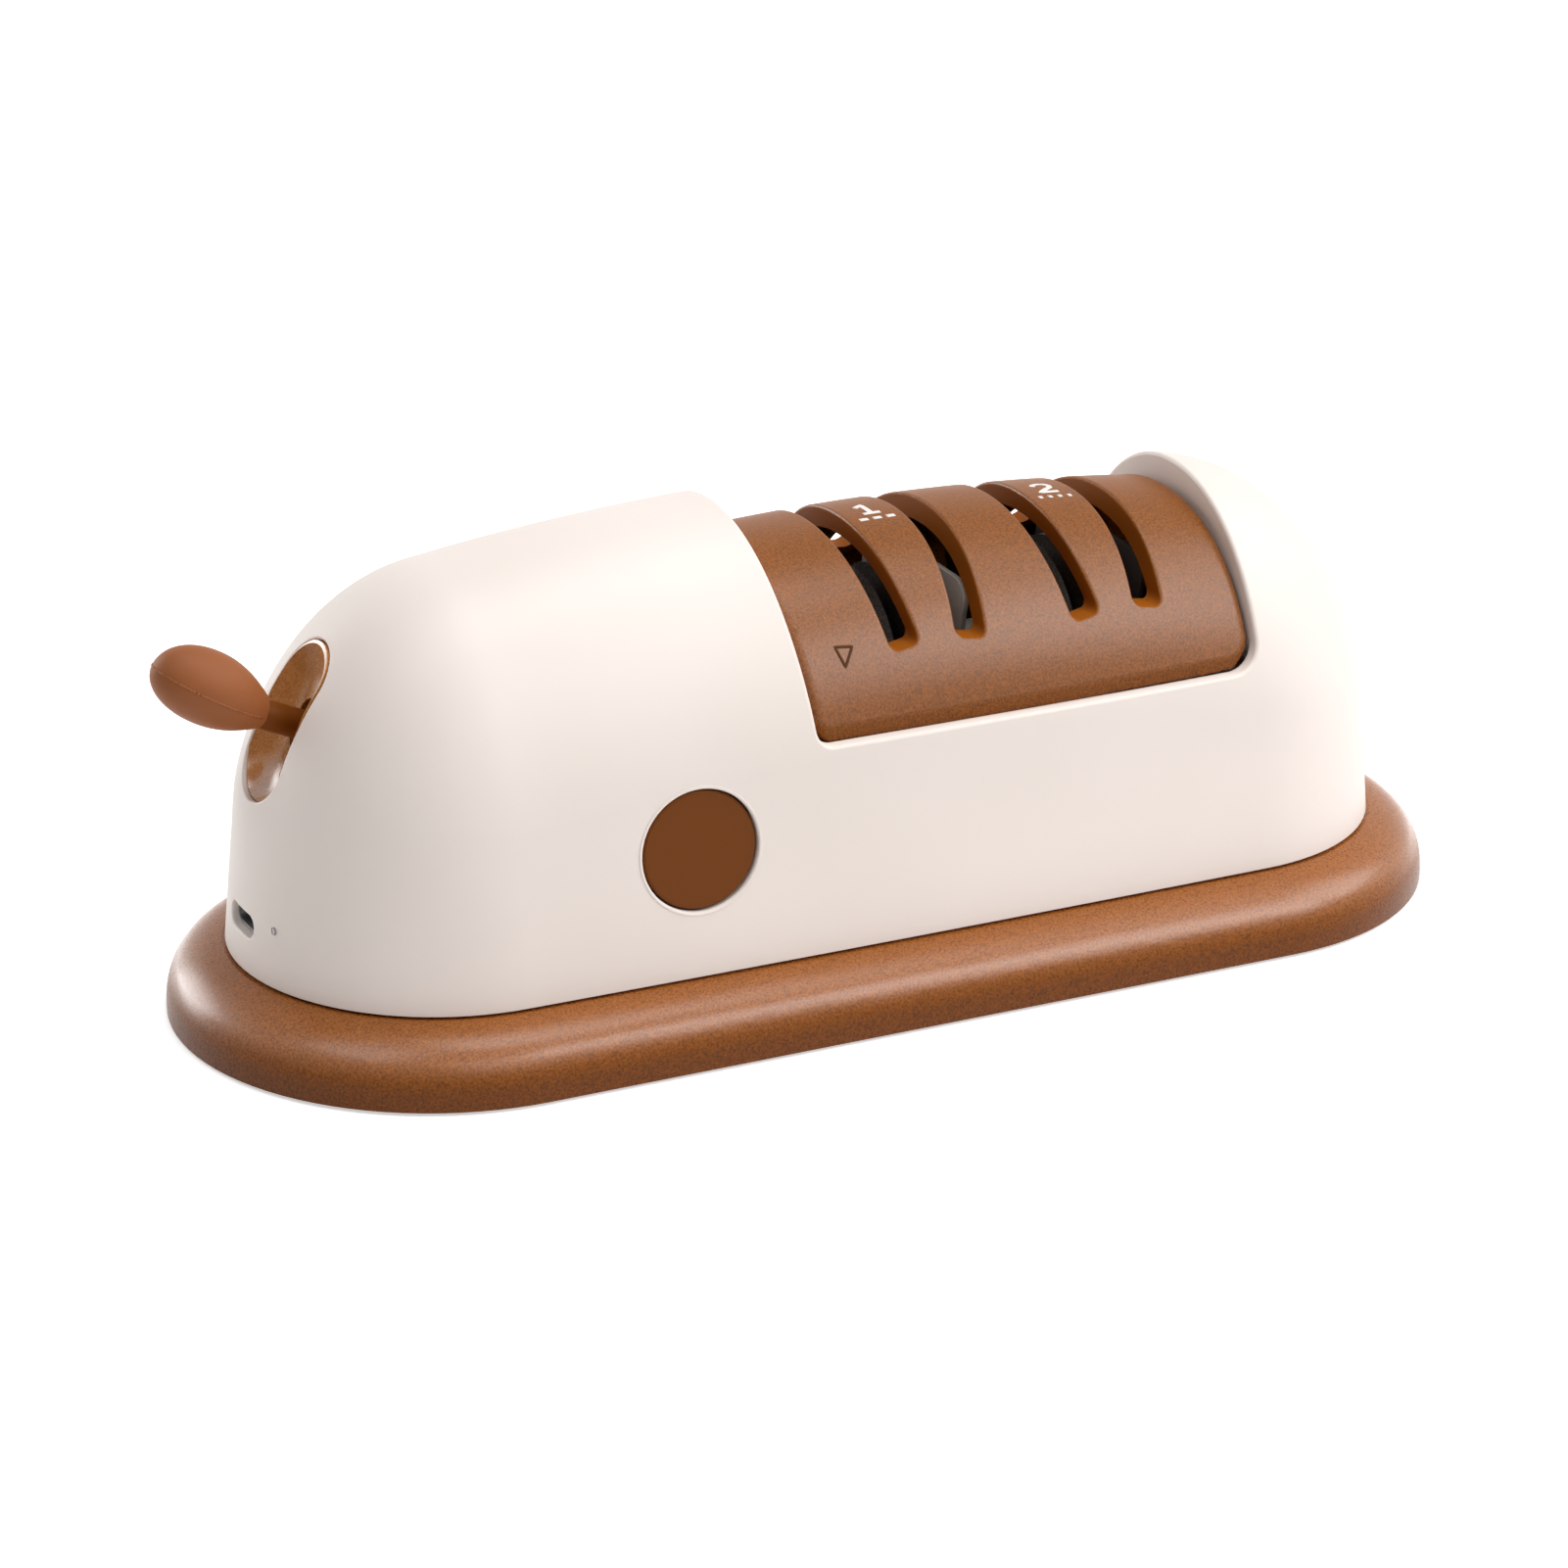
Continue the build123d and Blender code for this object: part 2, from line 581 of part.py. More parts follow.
with BuildPart() as button_bracket:
    with BuildSketch(Plane.XZ.offset(-PUSH_BACK_Y)):
        with Locations((BUTTON_X, (PLATE_TOP_Z + 40.0) / 2)):
            RectangleRounded(15.0, 40.0 - PLATE_TOP_Z, 2.0)
        with Locations((BUTTON_X, PLATE_TOP_Z + 2.0)):
            Rectangle(15.0, 4.0)
    extrude(amount=-BRACKET_T)
    with BuildSketch(Plane.XY.offset(PLATE_TOP_Z)):
        with Locations((BUTTON_X, PUSH_BACK_Y + 5.5)):
            Rectangle(15.0, 11.0)
    extrude(amount=BRACKET_T)
    for rib_x in (BUTTON_X - 5.0, BUTTON_X + 5.0):
        with BuildSketch(Plane.YZ.offset(rib_x - 0.7)):
            with BuildLine():
                Polyline(
                    (PUSH_BACK_Y + 0.5, PLATE_TOP_Z + 0.5),
                    (PUSH_BACK_Y + 10.0, PLATE_TOP_Z + 0.5),
                    (PUSH_BACK_Y + 0.5, PLATE_TOP_Z + 22.0),
                    close=True,
                )
            make_face()
        extrude(amount=1.4)
save(button_bracket.part, "button_bracket")

# ---------------------------------------------------------------- lever
DISH_FLOOR = -2.2  # depth of the dish's floor, from the plane of its rim
DISH_WALL = 1.6
EAR_IN_Y = DRUM_W / 2 + 0.6
EAR_T = 1.6

with BuildPart() as dish_flange:
    with BuildSketch(dish_plane.offset(-10)):
        SlotOverall(DISH_L + 4.4, DISH_W + 4.0)
    extrude(amount=18)
    add(inner_form.moved(Location(lever_out * -0.1)), mode=Mode.INTERSECT)
    add(inner_form.moved(Location(lever_out * -1.6)), mode=Mode.SUBTRACT)

with BuildPart() as dish_cup:
    with BuildSketch(dish_plane.offset(DISH_FLOOR - DISH_WALL)):
        SlotOverall(DISH_L, DISH_W)
    extrude(amount=10)
    add(outer_form, mode=Mode.INTERSECT)

with BuildPart() as scoop:
    with BuildSketch(dish_plane.offset(DISH_FLOOR)):
        SlotOverall(DISH_L - 12.0, DISH_W - 8.6)
    with BuildSketch(dish_plane.offset(DISH_FLOOR + 0.8)):
        SlotOverall(DISH_L - 5.2, DISH_W - 4.2)
    with BuildSketch(dish_plane):
        SlotOverall(DISH_L - 1.3, DISH_W - 1.5)
    with BuildSketch(dish_plane.offset(5.0)):
        SlotOverall(DISH_L + 0.6, DISH_W - 0.5)
    loft()

with BuildPart() as lever_dish:
    add(dish_cup.part)
    add(dish_flange.part)
    with BuildSketch(Plane(origin=pivot + Vector(0, EAR_IN_Y, 0), x_dir=dish_up, z_dir=(0, 1, 0))):
        Circle(3.4)
        with Locations((0, -(PIVOT_DEPTH - 1.0) / 2)):
            Rectangle(6.8, PIVOT_DEPTH - 1.0)
    extrude(amount=EAR_T)
    mirror(about=Plane.XZ)
    add(scoop.part, mode=Mode.SUBTRACT)
    with BuildSketch(dish_plane.offset(-PIVOT_DEPTH)):
        SlotOverall(8.7, 2 * (STEM_R + RUNNING_GAP))
    extrude(amount=12, mode=Mode.SUBTRACT)
    with BuildSketch(Plane.XZ):
        with Locations((pivot.X, pivot.Z)):
            Circle(PIN_R + SHAFT_FIT)
    extrude(amount=12, both=True, mode=Mode.SUBTRACT)
save(lever_dish.part, "lever_dish")

with BuildPart() as lever_pin:
    with BuildSketch(Plane.XZ):
        with Locations((pivot.X, pivot.Z)):
            Circle(PIN_R)
    extrude(amount=EAR_IN_Y + EAR_T, both=True)
save(lever_pin.part, "lever_pin")

SPIGOT_R = 1.5
SPIGOT_L = 6.0
leaf_foot = pivot + lever_out * LEAF_START
leaf_out = Vector(-math.cos(math.radians(LEAF_TILT)), 0, math.sin(math.radians(LEAF_TILT)))
leaf_up = Vector(math.sin(math.radians(LEAF_TILT)), 0, math.cos(math.radians(LEAF_TILT)))

with BuildPart() as lever_arm:
    with BuildSketch(Plane.XZ):
        with Locations((pivot.X, pivot.Z)):
            Circle(DRUM_R)
    extrude(amount=DRUM_W / 2, both=True)
    with BuildSketch(dish_plane.offset(-PIVOT_DEPTH)):
        Circle(STEM_R)
    extrude(amount=LEAF_START)
    with BuildSketch(dish_plane.offset(-PIVOT_DEPTH)):
        Circle(SPIGOT_R)
    extrude(amount=LEAF_START + SPIGOT_L)
    with BuildSketch(Plane.XZ):
        for prong_z in (-(FORK_GAP / 2 + 0.8), FORK_GAP / 2 + 0.8):
            with Locations((pivot.X + (FORK_REACH + 0.5) / 2, pivot.Z + prong_z)):
                Rectangle(FORK_REACH + 0.5, 1.6)
    extrude(amount=1.6, both=True)
    with BuildSketch(Plane.XZ):
        with Locations((pivot.X, pivot.Z)):
            Circle(PIN_R + SHAFT_FIT)
    extrude(amount=DRUM_W, both=True, mode=Mode.SUBTRACT)
save(lever_arm.part, "lever_arm")

# The leaf: an egg turned about its own axis, its upper half fuller than its lower half.
with BuildPart() as egg:
    with BuildSketch(Plane.XY):
        with BuildLine():
            Line((-1.0, 0), (-1.0, STEM_R))
            Bezier(
                (-1.0, STEM_R), (2.2, 4.6), (5.6, LEAF_HALF_W), (0.52 * LEAF_L, LEAF_HALF_W)
            )
            Bezier(
                (0.52 * LEAF_L, LEAF_HALF_W),
                (0.84 * LEAF_L, LEAF_HALF_W),
                (LEAF_L, 0.5 * LEAF_HALF_W),
                (LEAF_L, 0),
            )
            Line((LEAF_L, 0), (-1.0, 0))
        make_face()
    revolve(axis=Axis.X, revolution_arc=360)

leaf_plane = Plane(origin=leaf_foot, x_dir=leaf_out, z_dir=leaf_up)
leaf_halves = []
for keep, height in ((Keep.TOP, LEAF_HIGH), (Keep.BOTTOM, LEAF_LOW)):
    half = split(egg.part, bisect_by=Plane.XY, keep=keep)
    ratio = height / LEAF_HALF_W
    squeeze = Matrix([[1, 0, 0, 0], [0, 1, 0, 0], [0, 0, ratio, 0], [0, 0, 0, 1]])
    leaf_halves.append(half.transform_geometry(squeeze).moved(Location(leaf_plane)))

with BuildPart() as leaf_knob:
    add(leaf_halves[0])
    add(leaf_halves[1])
    split(bisect_by=dish_plane.offset(LEAF_START - PIVOT_DEPTH + 0.02), keep=Keep.TOP)
    with BuildSketch(dish_plane.offset(LEAF_START - PIVOT_DEPTH - 1)):
        Circle(SPIGOT_R + SHAFT_FIT)
    extrude(amount=SPIGOT_L + 1.5, mode=Mode.SUBTRACT)
save(leaf_knob.part, "leaf_knob")

# power switch that the lever's fork slides up and down
SWITCH_BODY_X = pivot.X + FORK_REACH + 1.24
SWITCH_D = 4.0
SWITCH_HALF_H = 7.0
SWITCH_HALF_W = 4.0
POST_HALF = 1.0
SLIDE_TRAVEL = 1.9

with BuildPart() as power_switch:
    with BuildSketch(Plane.YZ.offset(SWITCH_BODY_X)):
        with Locations((0, pivot.Z)):
            Rectangle(2 * SWITCH_HALF_W, 2 * SWITCH_HALF_H)
    extrude(amount=SWITCH_D)
    with BuildSketch(Plane.YZ.offset(SWITCH_BODY_X + 0.7)):
        with Locations((0, pivot.Z)):
            Rectangle(6.0, 11.4)
    extrude(amount=2.0, mode=Mode.SUBTRACT)
    with BuildSketch(Plane.YZ.offset(SWITCH_BODY_X)):
        with Locations((0, pivot.Z)):
            Rectangle(3.2, 2 * (POST_HALF + SLIDE_TRAVEL + 0.4))
    extrude(amount=1.0, mode=Mode.SUBTRACT)
save(power_switch.part, "power_switch")

with BuildPart() as switch_slider:
    with BuildSketch(Plane.YZ.offset(SWITCH_BODY_X + 0.7 + RUNNING_GAP)):
        with Locations((0, pivot.Z)):
            Rectangle(5.2, 6.8)
    extrude(amount=1.3)
    with BuildSketch(Plane.YZ.offset(SWITCH_BODY_X - 2.6)):
        with Locations((0, pivot.Z)):
            Rectangle(2.4, 2 * POST_HALF)
    extrude(amount=4.0)
save(switch_slider.part, "switch_slider")

BRACKET_BACK_X = SWITCH_BODY_X + SWITCH_D
with BuildPart() as switch_bracket:
    with BuildSketch(Plane.YZ.offset(BRACKET_BACK_X)):
        with Locations((0, (PLATE_TOP_Z + pivot.Z + 8.0) / 2)):
            RectangleRounded(12.0, pivot.Z + 8.0 - PLATE_TOP_Z, 2.0)
        with Locations((0, PLATE_TOP_Z + 2.0)):
            Rectangle(12.0, 4.0)
    extrude(amount=BRACKET_T)
    with BuildSketch(Plane.XY.offset(PLATE_TOP_Z)):
        with Locations((BRACKET_BACK_X + 6.0, 0)):
            Rectangle(12.0, 12.0)
    extrude(amount=BRACKET_T)
    for rib_y in (-4.0, 4.0):
        with BuildSketch(Plane.XZ.offset(-rib_y - 0.7)):
            with BuildLine():
                Polyline(
                    (BRACKET_BACK_X + 0.5, PLATE_TOP_Z + 0.5),
                    (BRACKET_BACK_X + 10.0, PLATE_TOP_Z + 0.5),
                    (BRACKET_BACK_X + 0.5, PLATE_TOP_Z + 24.0),
                    close=True,
                )
            make_face()
        extrude(amount=1.4)
save(switch_bracket.part, "switch_bracket")

# ---------------------------------------------------------------- motor
MOTOR_REAR_X = MOTOR_FRONT_X - MOTOR_L
END_CAP_T = 2.8
HUB_R = 4.0
SHAFT_BORE_R = MOTOR_SHAFT_R + SHAFT_FIT
DRIVE_FRONT_X = -15.2
DRIVE_L = 7.8

with BuildPart() as motor_can:
    add(x_rod(MOTOR_R, MOTOR_REAR_X, MOTOR_FRONT_X))
    fillet(motor_can.edges().sort_by(Axis.X)[-1:], 1.2)
    add(x_rod(HUB_R, MOTOR_FRONT_X - 1, MOTOR_FRONT_X + MOTOR_PLATE_T))
    add(x_rod(MOTOR_R - 1.2, MOTOR_REAR_X, MOTOR_FRONT_X - 1.5), mode=Mode.SUBTRACT)
    add(x_rod(SHAFT_BORE_R, MOTOR_FRONT_X - 3, MOTOR_FRONT_X + 3), mode=Mode.SUBTRACT)
    for screw_z in (SHAFT_Z - MOTOR_SCREW_Z, SHAFT_Z + MOTOR_SCREW_Z):
        add(x_rod(1.35, MOTOR_FRONT_X - 3, MOTOR_FRONT_X + 1, z=screw_z), mode=Mode.SUBTRACT)
save(motor_can.part, "motor_can")

with BuildPart() as motor_end_cap:
    add(x_rod(MOTOR_R - 0.6, MOTOR_REAR_X - END_CAP_T, MOTOR_REAR_X))
    add(x_rod(MOTOR_R - 1.25, MOTOR_REAR_X - 1, MOTOR_REAR_X + 3))
    fillet(motor_end_cap.edges().sort_by(Axis.X)[:1], 0.8)
    add(x_rod(MOTOR_R - 3, MOTOR_REAR_X, MOTOR_REAR_X + 4), mode=Mode.SUBTRACT)
    add(x_rod(SHAFT_BORE_R, MOTOR_REAR_X - 4, MOTOR_REAR_X + 4), mode=Mode.SUBTRACT)
save(motor_end_cap.part, "motor_end_cap")

with BuildPart() as motor_terminals:
    with BuildSketch(Plane.YZ.offset(MOTOR_REAR_X - END_CAP_T - 3.0)):
        with Locations((8.6, SHAFT_Z), (-8.6, SHAFT_Z)):
            Rectangle(0.6, 3.0)
    extrude(amount=3.0)
save(motor_terminals.part, "motor_terminals")

with BuildPart() as motor_shaft:
    add(x_rod(MOTOR_SHAFT_R, MOTOR_REAR_X - END_CAP_T - 0.5, -16.5))
save(motor_shaft.part, "motor_shaft")

# the rotor's pack, which turns with the shaft inside the can
with BuildPart() as motor_rotor:
    add(x_rod(9.5, MOTOR_REAR_X + 7, MOTOR_FRONT_X - 6))
    with BuildSketch(Plane.YZ.offset(MOTOR_REAR_X + 6)):
        with Locations((0, SHAFT_Z)):
            with PolarLocations(7.0, 3):
                Rectangle(7.0, 1.6)
    extrude(amount=MOTOR_L - 10, mode=Mode.SUBTRACT)
    add(x_rod(4.5, MOTOR_REAR_X + 5, MOTOR_FRONT_X - 6))
    add(x_rod(SHAFT_BORE_R, MOTOR_REAR_X, MOTOR_FRONT_X), mode=Mode.SUBTRACT)
save(motor_rotor.part, "motor_rotor")

with BuildPart() as drive_dog:
    add(x_rod(DOG_R, DRIVE_FRONT_X - DRIVE_L, DRIVE_FRONT_X))
    with BuildSketch(Plane.YZ.offset(DRIVE_FRONT_X - 1)):
        with Locations((0, SHAFT_Z)):
            Rectangle(TONGUE_T, TONGUE_H)
    extrude(amount=TONGUE_L + 1)
    add(x_rod(SHAFT_BORE_R, DRIVE_FRONT_X - DRIVE_L, -16.5 + 0.2), mode=Mode.SUBTRACT)
save(drive_dog.part, "drive_dog")

with BuildPart() as motor_plate:
    with BuildSketch(Plane.YZ.offset(MOTOR_FRONT_X)):
        with Locations((0, SHAFT_Z)):
            RectangleRounded(2 * PLATE_SCREW_Y + 9.0, 25.0, 4.0)
            Circle(HUB_R + 0.05, mode=Mode.SUBTRACT)
        with Locations((0, SHAFT_Z - MOTOR_SCREW_Z), (0, SHAFT_Z + MOTOR_SCREW_Z)):
            Circle(1.4, mode=Mode.SUBTRACT)
        with Locations((PLATE_SCREW_Y, SHAFT_Z), (-PLATE_SCREW_Y, SHAFT_Z)):
            Circle(1.4, mode=Mode.SUBTRACT)
    extrude(amount=MOTOR_PLATE_T)
save(motor_plate.part, "motor_plate")

with BuildPart() as motor_screws:
    for screw_z in (SHAFT_Z - MOTOR_SCREW_Z, SHAFT_Z + MOTOR_SCREW_Z):
        add(x_rod(1.3, MOTOR_FRONT_X - 3, MOTOR_FRONT_X + MOTOR_PLATE_T + 0.5, z=screw_z))
        head_x = MOTOR_FRONT_X + MOTOR_PLATE_T
        add(x_rod(2.4, head_x, head_x + 1.4, z=screw_z))
save(motor_screws.part, "motor_screws")

with BuildPart() as plate_screws:
    for screw_y in (-PLATE_SCREW_Y, PLATE_SCREW_Y):
        add(x_rod(2.6, MOTOR_FRONT_X - 1.4, MOTOR_FRONT_X, y=screw_y))
        add(x_rod(1.3, MOTOR_FRONT_X - 1, MOTOR_FRONT_X + 7.5, y=screw_y))
save(plate_screws.part, "plate_screws")

# ---------------------------------------------------------------- battery and board
CELL_Z = PLATE_TOP_Z + 1.0 + CELL_R
with BuildPart() as battery_cell:
    add(x_rod(CELL_R, CELL_X, CELL_X + CELL_L, z=CELL_Z))
    fillet(battery_cell.edges().filter_by(GeomType.CIRCLE), 0.6)
save(battery_cell.part, "battery_cell")

with BuildPart() as battery_cradle:
    with BuildSketch(Plane.XY.offset(PLATE_TOP_Z)):
        for saddle_x in (CELL_X + 10.0, CELL_X + CELL_L - 10.0):
            with Locations((saddle_x, 0)):
                Rectangle(9.0, 23.0)
    extrude(amount=8.0)
    with BuildSketch(Plane.XY.offset(PLATE_TOP_Z)):
        with Locations((CELL_X + CELL_L / 2, 0)):
            Rectangle(CELL_L - 16.0, 12.0)
    extrude(amount=1.0)
    add(x_rod(CELL_R + 0.03, CELL_X - 2, CELL_X + CELL_L + 2, z=CELL_Z), mode=Mode.SUBTRACT)
save(battery_cradle.part, "battery_cradle")

with BuildPart() as battery_tabs:
    for tab_x in (CELL_X - 0.32, CELL_X + CELL_L + 0.02):
        with BuildSketch(Plane.YZ.offset(tab_x)):
            with Locations((0, CELL_Z + 2.5)):
                Rectangle(5.0, 11.0)
        extrude(amount=0.3)
save(battery_tabs.part, "battery_tabs")

BOARD_X = (-94.5, -72.5)
BOARD_HALF_W = 11.5
with BuildPart() as circuit_board:
    with BuildSketch(Plane.XY.offset(BOARD_Z)):
        with Locations(((BOARD_X[0] + BOARD_X[1]) / 2, 0)):
            RectangleRounded(BOARD_X[1] - BOARD_X[0], 2 * BOARD_HALF_W, 1.0)
        with Locations(*STANDOFFS):
            Circle(1.1, mode=Mode.SUBTRACT)
    extrude(amount=BOARD_T)
save(circuit_board.part, "circuit_board")

with BuildPart() as board_screws:
    with BuildSketch(Plane.XY.offset(BOARD_TOP_Z)):
        with Locations(*STANDOFFS):
            Circle(1.8)
    extrude(amount=1.2)
    with BuildSketch(Plane.XY.offset(BOARD_TOP_Z + 0.5)):
        with Locations(*STANDOFFS):
            Circle(0.9)
    extrude(amount=-7.0)
save(board_screws.part, "board_screws")

SOCKET_FRONT_X = HEAD_TIP_X + 3.2
with BuildPart() as usb_socket:
    with BuildSketch(Plane.YZ.offset(SOCKET_FRONT_X)):
        with Locations((0, SOCKET_Z)):
            RectangleRounded(SOCKET_W, SOCKET_H, 1.3)
    extrude(amount=SOCKET_L)
    with BuildSketch(Plane.YZ.offset(SOCKET_FRONT_X)):
        with Locations((0, SOCKET_Z)):
            RectangleRounded(SOCKET_W - 0.6, SOCKET_H - 0.6, 1.05)
            Rectangle(6.7, 0.7, mode=Mode.SUBTRACT)
    extrude(amount=SOCKET_L - 1.2, mode=Mode.SUBTRACT)
    with BuildSketch(Plane.YZ.offset(SOCKET_FRONT_X)):
        with Locations((0, SOCKET_Z)):
            Rectangle(6.8, 0.8)
    extrude(amount=1.1, mode=Mode.SUBTRACT)
save(usb_socket.part, "usb_socket")

with BuildPart() as board_components:
    with BuildSketch(Plane.XY.offset(BOARD_TOP_Z)):
        with Locations((-84.0, 0)):
            Rectangle(5.0, 5.0)
        with Locations((-84.0, 8.5), (-84.0, -8.5)):
            Rectangle(3.2, 1.6)
    extrude(amount=1.0)
    with BuildSketch(Plane.XY.offset(BOARD_TOP_Z)):
        with Locations((-77.5, 0)):
            RectangleRounded(4.0, 4.0, 0.6)
    extrude(amount=2.2)
    with BuildSketch(Plane.XY.offset(BOARD_TOP_Z)):
        with Locations((-92.6, LED_Y)):
            Rectangle(1.6, 2.2)
    extrude(amount=LED_Z + 1.2 - BOARD_TOP_Z)
save(board_components.part, "board_components")

with BuildPart() as light_pipe:
    pipe_back_x = SOCKET_FRONT_X + 4.6
    add(x_rod(LED_R, SOCKET_FRONT_X + 0.3, pipe_back_x, y=LED_Y, z=LED_Z))
    add(x_rod(1.3, pipe_back_x - 1.3, pipe_back_x, y=LED_Y, z=LED_Z))
save(light_pipe.part, "light_pipe")

# ---------------------------------------------------------------- cartridge
cart_outer = cart_vault(0)
cart_inner = cart_vault(CART_WALL)
cart_deep = cart_vault(COLLAR_DEPTH)
CART_LOW_Z = LEDGE_Z + RUNNING_GAP
FLANGE_LOW_Z = WELL_REST_Z + WELL_T + RUNNING_GAP
TRAY_HALF_W = SHOULDER_W - WALL - TRAY_GAP
tray_limit, _ = vault(TRAY_HALF_W, WALL + TRAY_GAP)
TRAY_OUT_R = TROUGH_R + TROUGH_WALL
NOTCH_HALF_W = 5.0
NOTCH_TOP_Z = 51.0
cart_block = between_ends(CART_GAP, CART_TAIL_GAP, CART_LOW_Z, HOUSING_TOP_Z, rounded=True)


def slot_slab(pair_x, side, grow):
    """The slot as a leaning slab with rounded lower corners, grown all round by grow."""
    lean = side * SLOT_LEAN
    middle_x = slot_middle_x(pair_x, side, SLOT_FLOOR_Z)
    slab_plane = Plane(
        origin=(middle_x, 0, SLOT_FLOOR_Z - grow),
        x_dir=(math.cos(math.radians(lean)), 0, -math.sin(math.radians(lean))),
        z_dir=(0, -1, 0),
    )
    with BuildPart() as slab:
        with BuildSketch(slab_plane):
            with Locations((0, 20)):
                RectangleRounded(SLOT_W + 2 * grow, 40, SLOT_CORNER_R + grow)
        extrude(amount=60, both=True)
    return slab.part


with BuildPart() as collars:
    for pair_x, side in SLOTS:
        add(slot_slab(pair_x, side, COLLAR_WALL))
    add(cart_outer, mode=Mode.INTERSECT)
    add(cart_deep, mode=Mode.SUBTRACT)

with BuildPart() as slot_cuts:
    for pair_x, side in SLOTS:
        add(slot_slab(pair_x, side, 0))

# The inside: the vault made smaller by the wall, less the collars and the webs over the bushes.
with BuildPart() as cart_hollow:
    add(between_ends(CART_GAP + CART_WALL, CART_TAIL_GAP + CART_WALL, CART_LOW_Z, HOUSING_TOP_Z))
    add(cart_inner, mode=Mode.INTERSECT)
    add(collars.part, mode=Mode.SUBTRACT)
    with BuildSketch(Plane.XY.offset(SADDLE_TOP_Z + SEAT_GAP)):
        with Locations((BUSH_X[0], 0), (BUSH_X[1], 0)):
            Rectangle(2.0, 60)
    extrude(amount=30, mode=Mode.SUBTRACT)

with BuildPart() as cartridge_shell:
    add(cart_outer)
    add(cart_block, mode=Mode.INTERSECT)
    fillet(
        cartridge_shell.faces().sort_by(Axis.X)[-1].edges().sort_by(Axis.Z)[-1:], CART_END_ROUND
    )
    add(slot_cuts.part, mode=Mode.SUBTRACT)
    fillet(cartridge_shell.edges(Select.LAST).filter_by(GeomType.BSPLINE), SLOT_LIP_ROUND)
    add(cart_hollow.part, mode=Mode.SUBTRACT)
    with BuildSketch(Plane.YZ.offset(-20)):
        with Locations((0, NOTCH_TOP_Z - 5)):
            Rectangle(2 * NOTCH_HALF_W, 10)
    extrude(amount=8.5, mode=Mode.SUBTRACT)
save(cartridge_shell.part, "cartridge_shell")

with BuildPart() as trough_form:
    with BuildSketch(Plane.YZ.offset(-30)):
        with Locations((0, SHAFT_Z)):
            Circle(TRAY_OUT_R)
        with Locations((0, (FLANGE_LOW_Z + CART_LOW_Z) / 2)):
            Rectangle(2 * TRAY_HALF_W, CART_LOW_Z - FLANGE_LOW_Z)
        with Locations((0, CART_LOW_Z + 30)):
            Rectangle(60, 60, mode=Mode.SUBTRACT)
    extrude(amount=120)
    add(between_ends(CART_GAP, CART_TAIL_GAP, BULKHEAD_LOW_Z, CART_LOW_Z), mode=Mode.INTERSECT)
    add(tray_limit, mode=Mode.INTERSECT)

with BuildPart() as trough_hollow:
    add(x_rod(TROUGH_R, -30, 90))
    add(
        between_ends(
            CART_GAP + TROUGH_WALL, CART_TAIL_GAP + TROUGH_WALL, BULKHEAD_LOW_Z, HOUSING_TOP_Z
        ),
        mode=Mode.INTERSECT,
    )

with BuildPart() as saddles:
    for bush_x in BUSH_X:
        with BuildSketch(Plane.YZ.offset(bush_x - SADDLE_T / 2)):
            with Locations((0, SHAFT_Z)):
                Circle(TROUGH_R + 0.5)
            with Locations((0, CART_LOW_Z + 30)):
                Rectangle(60, 60, mode=Mode.SUBTRACT)
            with Locations((0, (CART_LOW_Z + SADDLE_TOP_Z) / 2 - 1)):
                Rectangle(16, SADDLE_TOP_Z - CART_LOW_Z + 2)
            with Locations((0, SHAFT_Z)):
                Circle(BUSH_R + 0.03, mode=Mode.SUBTRACT)
            with Locations((0, SHAFT_Z + 5)):
                Rectangle(2 * (BUSH_R + 0.03), 10, mode=Mode.SUBTRACT)
        extrude(amount=SADDLE_T)

with BuildPart() as cartridge_tray:
    add(trough_form.part)
    add(trough_hollow.part, mode=Mode.SUBTRACT)
    add(saddles.part)
    with BuildSketch(Plane.YZ.offset(-20)):
        with Locations((0, SHAFT_Z - 10)):
            Rectangle(2 * NOTCH_HALF_W, 40)
    extrude(amount=9.5, mode=Mode.SUBTRACT)
save(cartridge_tray.part, "cartridge_tray")

GUIDE_T = 0.9
GUIDE_TOP_Z = 63.3
GUIDE_HALF_W = 17.6
GUIDE_FOOT_W = 21.5


